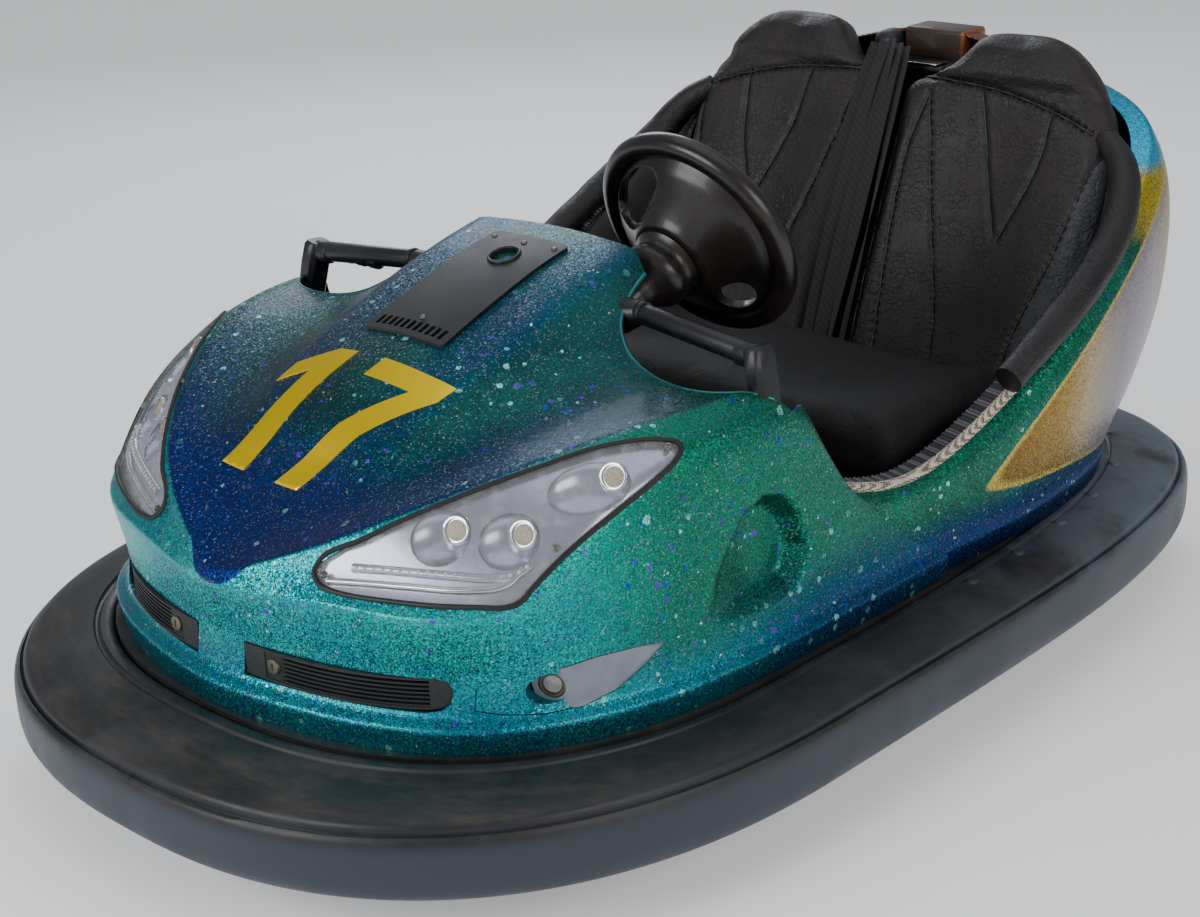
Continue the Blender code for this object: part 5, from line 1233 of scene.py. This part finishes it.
# %% [markdown]
# ## Fog lamps
# At each end of the mouth a round lamp looks forward out of a tapered grey cover, and the body is scooped out in
# front of it. The cover is cut from the body's own curve, so it stays flush with it.
# %% Covers, scoops and lamps
FOG_PLACE = Vector((0.411, -0.579, 0.279))
FOG_LOOK = Vector((0.45, -0.89, 0.0)).normalized()
for side, hand in SIDES:
    spot, look = on_side(side, FOG_PLACE), on_side(side, FOG_LOOK)
    insert = walled(front_sheet, "insert", 0.0012, -0.022)
    cut(insert, mouth_prism(side, FOG_OUTLINE, 0.0, -0.62), "INTERSECT")
    cut(insert, bar(spot + look * 0.015, spot + look * 0.2, 0.15, 48))
    cut(insert, bar(spot - look * 0.05, spot + look * 0.05, 0.0185, 48))
    keep(insert, "fog_cover_" + hand, grey_insert, "root", ("fog_scoop_" + hand,), smooth=40)
    scoop = walled(front_sheet, "scoop", -0.0015, -0.050)
    cut(scoop, mouth_prism(side, FOG_OUTLINE, 0.0005), "INTERSECT")
    cut(scoop, bar(spot + look * 0.0155, spot - look * 0.2, 0.15, 48))
    bpy.ops.mesh.primitive_uv_sphere_add(segments=48, ring_count=24)
    hollow = bpy.context.object
    turn_to = Vector((1, 0, 0)).rotation_difference(look).to_matrix().to_4x4()
    size = Matrix.Diagonal((0.075, 0.028, 0.0195, 1))
    hollow.data.transform(Matrix.Translation(spot + look * 0.012) @ turn_to @ size)
    cut(scoop, hollow)
    keep(scoop, "fog_scoop_body_" + hand, hull_paint, smooth=40)
    barrel = bar(spot - look * 0.030, spot + look * 0.0110, 0.0180, 40, None, 0.0015)
    cut(barrel, bar(spot + look * 0.007, spot + look * 0.03, 0.0145, 40))
    keep(barrel, "fog_bezel_" + hand, lock_steel, smooth=40)
    glass = bar(spot + look * 0.002, spot + look * 0.0095, 0.0143, 32, 0.0125, 0.0012)
    keep(glass, "fog_glass_" + hand, led_bead, smooth=40)
print("fog lamps ready")

# %% [markdown]
# ## Hood cover and number
# A thin black plate is screwed on the crown of the hood, over the shaft where staff unlock the steering. A row of
# louvres lets the motor's heat out. The number is cut from vinyl sheet, in plain slanted figures that fairground
# cars use to tell one from the next.
# %% Hood cover
PANEL = ((-0.074, -0.436), (0.074, -0.436), (0.079, -0.431), (0.074, -0.184), (0.069, -0.179), (-0.069, -0.179),
         (-0.074, -0.184), (-0.079, -0.431))


def flat_prism(outline, low, high):
    return mesh_object("prism", loft([[(x, y, z) for x, y in outline] for z in (low, high)]))


panel = walled(front_sheet, "panel", 0.0042, 0.0003)
cut(panel, flat_prism(PANEL, 0.5, 0.8), "INTERSECT")
for k in range(11):
    x = -0.0625 + 0.0125 * k
    cut(panel, block((x - 0.0036, -0.427, 0.5), (x + 0.0036, -0.409, 0.8)))
hole = Vector((0.004, -0.240, 0))
cut(panel, bar(hole + Vector((0, 0, 0.5)), hole + Vector((0, 0, 0.8)), 0.0215, 40))
keep(panel, "hood_cover", moulded_black, "root", ("hood_panel",), smooth=30)


def crown(x, y, lift=0.0):
    """The point of the hood straight under a place in plan, and the skin's normal there."""
    spot, normal, _, _ = skin.ray_cast(Vector((x, y, 1.0)), DOWN)
    return spot + normal * lift, normal


spot, normal = crown(hole.x, hole.y, 0.0045)
bpy.ops.mesh.primitive_torus_add(major_radius=0.0225, minor_radius=0.0026, major_segments=48, minor_segments=12,
                                 location=spot, rotation=normal.to_track_quat("Z", "Y").to_euler())
socket_lip = bpy.context.object
cup = bar(spot - normal * 0.030, spot - normal * 0.0005, 0.0222, 40)
cut(cup, bar(spot - normal * 0.026, spot + normal * 0.02, 0.0190, 40))
keep(joined([socket_lip, cup]), "socket_lip", moulded_black)
small = []
for x, y in ((0.004, -0.200), (0.003, -0.398), (-0.060, -0.196), (0.060, -0.196)):
    low, normal = crown(x, y, 0.0035)
    small.append(bar(low, low + normal * 0.0028, 0.0048, 20, 0.0036, 0.0008))
keep(joined(small), "hood_screws", zinc_screw, smooth=40)
spot, normal = crown(0.0, -0.418, -0.012)
# A flat black block under the louvres is painted shade, so the slots look dark.
keep(block((-0.070, -0.430, spot.z - 0.004), (0.070, -0.402, spot.z)), "louvre_shade", painted_shade_black)


# %% Number in plain cut figures
def figure(points, left, low, width, height, slant):
    """A figure's outline from its own box of 1 by 1, at a place in plan, leaning to the right."""
    return [(left + x * width + y * height * slant, low + y * height) for x, y in points]


ONE = [(0.44, 0.00), (0.76, 0.00), (0.76, 1.00), (0.50, 1.00), (0.14, 0.82), (0.14, 0.64), (0.44, 0.77)]
SEVEN = [(0.10, 0.00), (0.42, 0.00), (0.62, 0.42), (1.00, 0.84), (1.00, 1.00), (0.02, 1.00), (0.02, 0.82),
         (0.66, 0.82), (0.30, 0.44)]
for name, outline, left in (("one", ONE, -0.190), ("seven", SEVEN, -0.030)):
    sticker = walled(front_sheet, name, 0.0009, 0.0001)
    plan = figure(outline, left, -0.662, 0.142, 0.182, 0.22)
    cut(sticker, flat_prism(plan, 0.40, 0.8), "INTERSECT")
    keep(sticker, "number_" + name, number_vinyl, smooth=60)
print("hood cover and number ready")

# %% [markdown]
# ## Steering wheel, boot and grab handles
# The wheel is one skin of soft urethane moulded over a steel core: a thick rim that runs into a deep dish, with
# oval windows through it. A rubber boot hides the shaft, and it narrows in the middle like an hourglass. All of
# it is round about the shaft, so it is one profile swept round it.
# %% Sweep the wheel and the boot
WHEEL_CENTRE = Vector((0.14, 0.020, 0.681))
WHEEL_TILT = math.radians(23.5)
WHEEL_AXIS = Vector((0, math.cos(WHEEL_TILT), math.sin(WHEEL_TILT)))
WHEEL_UP = Vector((0, -math.sin(WHEEL_TILT), math.cos(WHEEL_TILT)))
WHEEL_SIDE = Vector((1, 0, 0))
RIM_MIDDLE, RIM_THICK = 0.1525, 0.0180


def swept(profile, steps):
    """A profile of (distance along the shaft, radius) swept round the steering axis."""
    rings = []
    for step in range(steps):
        angle = math.tau * step / steps
        out = WHEEL_SIDE * math.cos(angle) + WHEEL_UP * math.sin(angle)
        rings.append([WHEEL_CENTRE + WHEEL_AXIS * along + out * radius for along, radius in profile])
    bm = loft(rings, around=True)
    bmesh.ops.remove_doubles(bm, verts=bm.verts, dist=1e-6)
    bmesh.ops.recalc_face_normals(bm, faces=bm.faces)
    return mesh_object("swept", bm)


rim = []
for k in range(17):
    angle = math.radians(236 - 292 * k / 16)
    rim.append((RIM_THICK * math.cos(angle), RIM_MIDDLE + RIM_THICK * math.sin(angle)))
dish_front = [(-0.0195, 0.132), (-0.029, 0.120), (-0.041, 0.100), (-0.052, 0.084), (-0.060, 0.073), (-0.066, 0.066),
              (-0.070, 0.063), (-0.072, 0.059)]
dish_back = [(0.004, 0.132), (-0.010, 0.122), (-0.026, 0.104), (-0.040, 0.080), (-0.048, 0.055), (-0.036, 0.048),
             (-0.026, 0.040), (-0.024, 0.0)]
wheel = swept([(-0.072, 0.0)] + dish_front[::-1] + rim + dish_back, 96)
# Each window as its angle, distance from the middle, half length and half width.
for degrees, spread, long, wide in ((130, 0.099, 0.066, 0.033), (316, 0.104, 0.036, 0.024)):
    turn_by = math.radians(degrees)
    out = WHEEL_SIDE * math.cos(turn_by) + WHEEL_UP * math.sin(turn_by)
    across = WHEEL_AXIS.cross(out)
    spot = WHEEL_CENTRE + out * spread - WHEEL_AXIS * 0.03
    rings = []
    for reach in (-0.05, 0.06):
        rings.append([spot + WHEEL_AXIS * reach + across * (long * math.cos(math.tau * k / 32))
                      + out * (wide * math.sin(math.tau * k / 32)) for k in range(32)])
    cut(wheel, mesh_object("window", loft(rings)))
modified(wheel, "soft_windows", "BEVEL", width=0.0022, segments=2, limit_method="ANGLE",
         angle_limit=math.radians(50))
keep(wheel, "urethane_wheel", wheel_black, "steering", ("steering_wheel",), smooth=50)
boot = [(-0.0735, 0.012), (-0.0735, 0.054), (-0.076, 0.056), (-0.082, 0.050), (-0.089, 0.047), (-0.096, 0.049),
        (-0.104, 0.052), (-0.112, 0.051), (-0.122, 0.044), (-0.134, 0.034), (-0.146, 0.027), (-0.156, 0.024),
        (-0.160, 0.021), (-0.344, 0.021), (-0.344, 0.012)]
keep(swept(boot, 64), "steering_boot", wheel_black, "root", ("steering_column",), smooth=50)
print("wheel and boot ready")

# %% [markdown]
# Each grab handle is a nylon tube with a flared foot on the hood. At the outer end it turns down into a leg with
# flat sides, which is bolted inside the shell, so the leg is lofted from a flat-sided section.
# %% Grab handles
HANDLE = ((0.400, -0.252, 0.846), (0.452, -0.254, 0.858), (0.610, -0.260, 0.852), (0.820, -0.266, 0.852),
          (0.895, -0.270, 0.822), (0.916, -0.278, 0.690))
for side, hand in SIDES:
    points = [on_side(side, on_body(p)) for p in HANDLE]
    run = (points[3] - points[2]).normalized()
    start, elbow = points[1] + Vector((0, 0, 0.002)), points[4] + Vector((0, 0, 0.002))
    grip = bar(start, elbow - run * 0.006, 0.0148, 48, 0.0158, 0.001)
    foot = bar(points[0] - (points[1] - points[0]) * 0.30, start + run * 0.004, 0.0270, 48, 0.0160, 0.0015)
    collar = bar(start + run * 0.004, start + run * 0.011, 0.0168, 48, None, 0.001)
    sleeve = bar(elbow - run * 0.034, elbow - run * 0.004, 0.0168, 48, None, 0.0012)
    leg_foot = on_side(side, (0.470, -0.224, 0.515))
    down = (leg_foot - elbow).normalized()
    wide = Vector((0, 1, 0)) - down * down.y
    wide.normalize()
    thick = down.cross(wide)
    rings = []
    for reach, size in ((-0.016, 0.75), (-0.010, 0.95), (0.02, 1.0), ((leg_foot - elbow).length, 0.92)):
        rings.append([elbow + down * reach + wide * (a * 0.0215 * size) + thick * (b * 0.0150 * size) for a, b in
                      ((-1, -0.6), (-0.7, -1), (0.7, -1), (1, -0.6), (1, 0.6), (0.7, 1), (-0.7, 1), (-1, 0.6))])
    leg = mesh_object("leg", loft(rings))
    parts = [grip, foot, collar, sleeve, leg]
    if side < 0:
        for k in range(4):
            spot = points[2] + (points[3] - points[2]) * (0.1 + 0.27 * k)
            parts.append(bar(spot - Vector((0.011, 0, 0.009)), spot + Vector((0.011, 0, -0.009)), 0.0140, 24, None,
                             0.004))
    keep(joined(parts), "grab_grip_" + hand, satin_black, "root", ("grab_handle_" + hand,), smooth=40)
print("handles ready")

# %% [markdown]
# ## Padded seats
# The bench and the two backrests are moulded foam under leatherette. A padded form swells between its seams, so
# each starts as a plain loft a little smaller than the real thing, gets an even mesh, and is blown up with a
# cloth simulation. How far a point may move is capped. The sewn channels are pressed in afterwards, because the
# even mesh would have lost them.
# %% Blow up a cushion
def puffed(obj, cap, voxel=0.008, pressure=4.0):
    """Swells a closed mesh with air pressure in a cloth simulation, with a cap on how far a point moves."""
    modified(obj, "even", "REMESH", mode="VOXEL", voxel_size=voxel)
    apply_modifiers(obj)
    start = [v.co.copy() for v in obj.data.vertices]
    cloth = obj.modifiers.new("puff", "CLOTH").settings
    cloth.quality = 4
    cloth.tension_stiffness = cloth.compression_stiffness = 12
    cloth.shear_stiffness = 4
    cloth.bending_stiffness = 0.8
    cloth.use_pressure = True
    cloth.uniform_pressure_force = pressure
    cloth.effector_weights.gravity = 0
    for frame_number in range(1, 16):
        bpy.context.scene.frame_set(frame_number)
    graph = bpy.context.evaluated_depsgraph_get()
    swollen = [v.co.copy() for v in obj.evaluated_get(graph).data.vertices]
    obj.modifiers.clear()
    for vert, before, after in zip(obj.data.vertices, start, swollen):
        move = after - before
        if move.length > cap:
            move = move.normalized() * cap
        vert.co = before + move
    bpy.context.scene.frame_set(1)
    modified(obj, "relax", "SMOOTH", iterations=4)
    modified(obj, "finer", "SUBSURF", levels=1, render_levels=1)
    apply_modifiers(obj)


# The backrests lie along one leaning plane, and places on it are given as x and a share of the way up.
BACK_OUT = Vector((0, -0.596, 0.256)).normalized()
BACK_THICK, PUFF_ROOM = 0.066, 0.008
BACK_FOOT, BACK_UP = Vector((0, 0.474, 0.270)) - BACK_OUT * BACK_THICK, Vector((0, 0.256, 0.596))


def on_back(x, share, out=0.0):
    return BACK_FOOT + BACK_UP * share + BACK_OUT * out + Vector((x, 0, 0))


def share_up(spot):
    return (spot - BACK_FOOT).dot(BACK_UP) / BACK_UP.dot(BACK_UP)


def height_out(spot):
    return (spot - BACK_FOOT).dot(BACK_OUT)


SEAT_MIDDLE = 0.215
# Rows of the driver's backrest as (share up, inner x, outer x, share of the thickness).
BACK_ROWS = (
    (0.00, -0.002, 0.440, 0.80), (0.10, -0.004, 0.445, 0.95), (0.25, -0.005, 0.448, 1.00), (0.45, -0.005, 0.449, 1.00),
    (0.62, -0.005, 0.447, 1.00), (0.72, -0.005, 0.446, 1.00), (0.79, -0.005, 0.438, 1.00), (0.85, -0.002, 0.420, 1.00),
    (0.882, 0.024, 0.404, 1.00), (0.905, 0.066, 0.394, 1.00), (0.930, 0.092, 0.382, 1.00), (0.960, 0.110, 0.362, 1.00),
    (0.986, 0.124, 0.340, 0.98), (1.008, 0.138, 0.318, 0.92), (1.022, 0.156, 0.296, 0.78), (1.030, 0.176, 0.272, 0.55))
BACK_PLAN = ((-1.0, 0.70), (-0.985, 0.92), (-0.94, 1.0), (-0.5, 1.02), (0.0, 1.0), (0.5, 1.02), (0.88, 0.98),
             (0.97, 0.80), (1.0, 0.45), (0.96, 0.06), (0.8, 0.0), (0.0, 0.0), (-0.8, 0.0), (-0.96, 0.06))
# Sewn lines on the driver's side as (x, share up): two pairs that close to a V, and the long side seams.
SEWN = (
    ((0.176, 0.855), (0.207, 0.68), (0.252, 0.495)), ((0.312, 0.835), (0.302, 0.67), (0.262, 0.49)),
    ((0.075, 0.830), (0.118, 0.583), (0.152, 0.411), (0.182, 0.25), (0.200, 0.10)),
    ((0.075, 0.830), (0.054, 0.674), (0.063, 0.412), (0.088, 0.10)),
    ((0.022, 0.850), (0.026, 0.664), (0.030, 0.373), (0.040, 0.068)),
    ((0.425, 0.770), (0.404, 0.70), (0.374, 0.47), (0.338, 0.26), (0.330, 0.10)),
    ((0.425, 0.770), (0.437, 0.70), (0.440, 0.533), (0.405, 0.345), (0.350, 0.10)))
PANEL_INNER, PANEL_OUTER = SEWN[-2], SEWN[-1]
# The front of a backrest is what stands more than this out of its leaning plane.
BACK_FRONT = 0.03
HEAD_SEAM = ((0.012, 0.868), (0.06, 0.872), (0.126, 0.866), (0.20, 0.858), (0.27, 0.838), (0.346, 0.806), (0.43, 0.756))


def smooth_line(points, count=40):
    """A smooth run of points through a few."""
    rows = between([[Vector((*p, 0))] for p in points], max(count // (len(points) - 1), 2))
    return [(row[0].x, row[0].y) for row in rows]


def press_in(obj, side, lines, depth, width):
    """Presses sewn lines into the front of a backrest, by how near each point lies to a line."""
    scale = BACK_UP.length
    runs = [[(side * x, share * scale) for x, share in smooth_line(line)] for line in lines]
    for vert in obj.data.vertices:
        if height_out(vert.co) < BACK_FRONT:
            continue
        x, y = vert.co.x, share_up(vert.co) * scale
        near = min(min(math.hypot(x - px, y - py) for px, py in run) for run in runs)
        if near < 3 * width:
            vert.co -= BACK_OUT * depth * math.exp(-(near / width) ** 2)


for side, hand in SIDES:
    rings = []
    for share, inner_x, outer_x, thick in BACK_ROWS:
        middle, half = (inner_x + outer_x) / 2, (outer_x - inner_x) / 2 - PUFF_ROOM
        rings.append([on_back(side * (middle + half * a), share * 0.988 + 0.006,
                              0.002 + (b * thick) * (BACK_THICK - PUFF_ROOM)) for a, b in BACK_PLAN])
    back = mesh_object("back", loft(rings))
    puffed(back, 0.009)
    for vert in back.data.vertices:
        share = share_up(vert.co)
        if height_out(vert.co) > BACK_FRONT:
            middle = math.exp(-((abs(vert.co.x) - SEAT_MIDDLE) / 0.13) ** 2)
            middle = middle * ease(0.05, 0.3, share) * ease(0.86, 0.70, share)
            vert.co -= BACK_OUT * 0.016 * middle
            vert.co += BACK_OUT * 0.010 * ease(0.86, 0.90, share)
    press_in(back, side, SEWN, 0.0042, 0.0048)
    press_in(back, side, (HEAD_SEAM,), 0.0075, 0.0055)
    back.data.materials.append(seat_vinyl)
    back.data.materials.append(creased_vinyl)
    inner_edge, outer_edge = smooth_line(PANEL_INNER, 60), smooth_line(PANEL_OUTER, 60)
    for face in back.data.polygons:
        share = share_up(face.center)
        if 0.12 < share < 0.76 and height_out(face.center) > BACK_FRONT:
            inner_x = min(inner_edge, key=lambda p: abs(p[1] - share))[0]
            outer_x = min(outer_edge, key=lambda p: abs(p[1] - share))[0]
            face.material_index = 1 if inner_x < abs(face.center.x) < outer_x else 0
    keep(back, "backrest_" + hand, (seat_vinyl, creased_vinyl), "root", ("seat_back_" + hand,),
         smooth=180)
    cloth_skin = BVHTree.FromObject(back, bpy.context.evaluated_depsgraph_get())
    threads = []
    for line in SEWN + (HEAD_SEAM,):
        lift = 0.0022 if line is HEAD_SEAM else 0.0009
        spots = []
        for x, share in smooth_line(line, 24):
            spot = cloth_skin.ray_cast(on_back(side * x, share, 0.2), -BACK_OUT)[0]
            if spot is not None:
                spots.append(spot + BACK_OUT * lift)
        threads.append(tube("thread", spots, 0.0013 + lift / 4, 2, 2))
    keep(joined(threads), "back_threads_" + hand, seam_thread, smooth=60)
print("backrests ready")

# %% Bench cushion
bench = block((-0.428, 0.108, 0.274), (0.428, 0.462, 0.402), 0.03, 4)
puffed(bench, 0.011, 0.010)
for vert in bench.data.vertices:
    if vert.co.z > 0.38:
        middle = math.exp(-(vert.co.x / 0.05) ** 2)
        dip = math.exp(-((abs(vert.co.x) - SEAT_MIDDLE) / 0.11) ** 2 - ((vert.co.y - 0.30) / 0.12) ** 2)
        vert.co.z += 0.003 * middle - 0.013 * dip
keep(bench, "bench_cushion", bench_vinyl_painted_shade, "root", ("seat_cushion",), smooth=180)
print("bench:", len(bench.data.polygons), "faces")

# %% [markdown]
# ## Padded rolls and side panels
# A thick padded roll is slipped over the top edge of the body, from the sill up to the headrests. Between it and
# the backrest the leatherette is stretched over a panel, and it has creased there.
# %% Rolls
ROLL = ((1.008, 0.345, 0.508), (1.012, 0.494, 0.616), (1.000, 0.654, 0.742), (0.955, 0.775, 0.872),
        (0.905, 0.835, 0.975), (0.850, 0.870, 1.045))
# How far each point is moved outwards, and how full the roll is there.
ROLL_TUCKS, ROLL_FULLNESS = (0.004, 0.004, 0.004, 0.004, -0.002, -0.020), (0.90, 1.04, 1.08, 1.06, 0.98, 0.80)
ROLL_RADIUS, ROLL_LIFT = 0.0245, 0.004
for side, hand in SIDES:
    points = [on_body(p) for p in ROLL]
    points = [Vector((side * (p.x + tuck), p.y, p.z + ROLL_LIFT)) for p, tuck in zip(points, ROLL_TUCKS)]
    roll = tube("roll", points, ROLL_RADIUS, 16, 8, radii=ROLL_FULLNESS)
    modified(roll, "ends", "BEVEL", width=0.011, segments=4, limit_method="ANGLE", angle_limit=math.radians(60))
    apply_modifiers(roll)
    for vert in roll.data.vertices:
        wave = math.sin(vert.co.y * 70 + vert.co.x * 31) * math.sin(vert.co.z * 53)
        vert.co += vert.normal * 0.0008 * wave
    keep(roll, "edge_roll_" + hand, roll_vinyl, "root", ("bolster_" + hand,), smooth=180)
print("rolls ready")

# %% Side panels from the roll to the backrest and down to the bench
for side, hand in SIDES:
    roll_line = smooth_line([(on_body(p).y, on_body(p).z) for p in ROLL], 24)
    roll_x = smooth_line([(on_body(p).x, 0) for p in ROLL], 24)
    rings = []
    for (y, z), (x, _) in zip(roll_line, roll_x):
        share = min(max(share_up(Vector((0, y, z))), 0.06), 0.80)
        inner = on_back(side * 0.425, share, 0.050)
        outer = Vector((side * (x - 0.022), y, z - 0.006))
        middle = inner.lerp(outer, 0.5) + Vector((0, 0.012, -0.018))
        low = middle + Vector((side * 0.004, 0.012, -0.026))
        rings.append([inner, middle, outer, outer + Vector((0, 0.006, -0.014)), low])
    panel_piece = mesh_object("side_panel", loft(rings))
    modified(panel_piece, "finer", "SUBSURF", levels=2, render_levels=2)
    keep(panel_piece, "side_panel_" + hand, roll_vinyl, smooth=180)
print("side panels ready")

# %% [markdown]
# ## Cockpit lining
# Inside, a black lining runs from the top edge of the shell down to the floor tub and hides the frame.
# %% Lining
for side, hand in SIDES:
    sections = between(REAR_SHARES, 2)[0:8]
    rings = []
    for row in sections:
        edge_spot = on_body(row[7])
        top = Vector((side * (edge_spot.x - 0.040), edge_spot.y, edge_spot.z - 0.004))
        waist = Vector((side * 0.452, edge_spot.y, edge_spot.z - 0.045))
        foot = Vector((side * 0.446, edge_spot.y, 0.215))
        thin = Vector((side * 0.003, 0, 0))
        rings.append([top, waist, foot, foot + thin, waist + thin, top + thin])
    lining = mesh_object("lining", loft(rings))
    keep(lining, "cockpit_lining_" + hand, moulded_black, smooth=40)
print("lining ready")

# %% [markdown]
# ## Sill trim
# A braided metallic cord hides the raw edge of the shell along the sill, and a ribbed rubber strip lies inside it.
# The braid is three strands wound round each other, drawn coarser than real so that it shows.
# %% Braid and ribbed strip
STRANDS, STRAND_RADIUS, WINDING, STRAND_STEP = 3, 0.0042, 0.0150, 0.0016
SILL_LIFT = 0.0055


def leg_at(lengths, reach):
    """The leg of a path that a distance along it falls on, and the share of that leg."""
    leg = max(i for i in range(len(lengths) - 1) if lengths[i] <= reach + 1e-9)
    return leg, (reach - lengths[leg]) / (lengths[leg + 1] - lengths[leg])


for side, hand in SIDES:
    rows = between(REAR_SHARES, 8)[2:24]
    path = [on_body(row[7]) for row in rows]
    path = [Vector((side * (p.x - 0.003), p.y, p.z + SILL_LIFT)) for p in path]
    inner_path = [on_body(row[8]) for row in rows]
    inner_path = [Vector((side * p.x, p.y, p.z + SILL_LIFT)) for p in inner_path]
    lengths = [0.0]
    for a, b in zip(path, path[1:]):
        lengths.append(lengths[-1] + (b - a).length)
    cords = []
    count = int(lengths[-1] / STRAND_STEP)
    for strand in range(STRANDS):
        curve = round_curve("strand", STRAND_RADIUS, 1)
        spline = curve.splines.new("POLY")
        spline.points.add(count)
        for k, knot in enumerate(spline.points):
            reach = lengths[-1] * k / count
            leg, share = leg_at(lengths, reach)
            middle = path[leg].lerp(path[leg + 1], share)
            angle = math.tau * (reach / WINDING + strand / STRANDS)
            knot.co = (*(middle + Vector((0.0048 * math.cos(angle), 0, 0.0042 * math.sin(angle)))), 1)
        cords.append(as_mesh("strand", curve))
    keep(joined(cords), "sill_braid_" + hand, braid_metal, smooth=60)
    rings = []
    for step in range(count // 3):
        leg, share = leg_at(lengths, lengths[-1] * step / (count // 3 - 1))
        middle = path[leg].lerp(path[leg + 1], share)
        rise = 0.0016 * (1 if step % 2 else -1)
        near = middle + Vector((side * -0.003, 0, 0.003 + rise))
        far = inner_path[leg].lerp(inner_path[leg + 1], share) + Vector((side * -0.007, 0, 0.0035 + rise))
        rings.append([near, far, far - Vector((0, 0, 0.003)), near - Vector((0, 0, 0.003))])
    keep(mesh_object("strip", loft(rings)), "sill_strip_" + hand, ribbed_strip, smooth=20)
print("sill trim ready")

# %% [markdown]
# ## Belts and their anchor
# The belts of both riders meet at a bracket between the headrests and hang down between the backrests. Webbing
# has a width and almost no thickness, so each strap is a flat section swept down its own path with a slow twist.
# %% Straps, bracket and buckle plate
STRAPS = (
    ((-0.052, 0.940, 0.068), (-0.060, 0.80, 0.074), (-0.074, 0.50, 0.074), (-0.064, 0.22, 0.076), (-0.046, 0.03, 0.08)),
    ((-0.036, 0.945, 0.070), (-0.040, 0.80, 0.078), (-0.046, 0.50, 0.078), (-0.040, 0.22, 0.08), (-0.026, 0.03, 0.086)),
    ((-0.020, 0.945, 0.072), (-0.02, 0.79, 0.076), (-0.022, 0.48, 0.076), (-0.018, 0.22, 0.078), (-0.006, 0.03, 0.084)),
    ((-0.006, 0.945, 0.070), (-0.003, 0.80, 0.078), (0.000, 0.48, 0.078), (0.004, 0.22, 0.080), (0.014, 0.03, 0.086)),
    ((0.008, 0.940, 0.068), (0.014, 0.80, 0.073), (0.022, 0.50, 0.073), (0.026, 0.22, 0.075), (0.034, 0.03, 0.080)))
STRAP_HALF_WIDTH, STRAP_HALF_THICKNESS = 0.0125, 0.0008
straps = []
for number, line in enumerate(STRAPS):
    rows = between([[Vector(p)] for p in line], 10)
    rings = []
    for k, row in enumerate(rows):
        x, share, out = row[0]
        middle = on_back(x, share, out)
        twist = math.radians(-40 + 22 * number + 26 * math.sin(k * 0.12 + number))
        across = Vector((math.cos(twist), 0, 0)) * STRAP_HALF_WIDTH + BACK_OUT * STRAP_HALF_WIDTH * math.sin(twist)
        thick = (BACK_OUT * math.cos(twist) - Vector((math.sin(twist), 0, 0))) * STRAP_HALF_THICKNESS
        rings.append([middle - across - thick, middle + across - thick,
                      middle + across + thick, middle - across + thick])
    straps.append(mesh_object("strap", loft(rings)))
keep(joined(straps), "belt_straps", webbing, "root", ("belt_strap",), smooth=40)
shelf = block((-0.046, 0.738, 0.786), (0.062, 0.842, 0.796), 0.003)
keep(shelf, "anchor_bracket", moulded_black, "root", ("belt_anchor",), smooth=40)
hump = block((-0.112, 0.772, 0.796), (-0.064, 0.832, 0.838), 0.018, 5)
keep(hump, "anchor_hump", moulded_black, smooth=60)
plate_piece = block((-0.030, 0.735, 0.7975), (0.052, 0.770, 0.8005), 0.0012)
keep(plate_piece, "anchor_plate", lamp_chrome, smooth=40)
box_piece = block((-0.062, 0.800, 0.792), (0.060, 0.872, 0.846), 0.007, 4)
box_piece.data.materials.append(spine_brown)
box_piece.data.materials.append(spine_copper)
for face in box_piece.data.polygons:
    face.material_index = 1 if face.normal.x > 0.4 else 0
keep(box_piece, "tail_block", (spine_brown, spine_copper), smooth=50)
print("belts ready")

# %% [markdown]
# ## Running gear and the rest of the frame
# The frame, the drive head and the wheels keep their solids, because their shapes are right. They only get the
# finish of the real parts: chassis paint, turned steel and solid rubber.
# %% Finishes on the solids that stay
STAYS = {
    "bumper_band": chassis_paint, "chassis_plate": chassis_paint, "cross_beam_front": chassis_paint,
    "cross_beam_rear": chassis_paint, "slewing_ring": turned_steel, "rear_bracket_left": chassis_paint,
    "rear_bracket_right": chassis_paint, "floor_pan": moulded_black, "bulkhead": moulded_black, "pedal": satin_black,
    "seat_pedestal": moulded_black, "drive_fork": chassis_paint, "drive_motor": motor_enamel,
    "drive_wheel_hub": turned_steel, "drive_wheel_tyre": tyre_rubber, "steering_shaft": turned_steel,
    "rear_wheel_left_hub": turned_steel, "rear_wheel_left_tyre": tyre_rubber, "rear_wheel_right_hub": turned_steel,
    "rear_wheel_right_tyre": tyre_rubber}
for node, finish in STAYS.items():
    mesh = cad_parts[node].data
    mesh.materials.clear()
    mesh.materials.append(finish)
print("solids kept:", len(STAYS))

# %% [markdown]
# ## Last step: clearing the patterns
# The sheets that the shells and lamps were cut from are patterns, not pieces, so they go.
# %% Clear the patterns
for pattern in (front_sheet, rear_sheet):
    bpy.data.objects.remove(pattern, do_unlink=True)
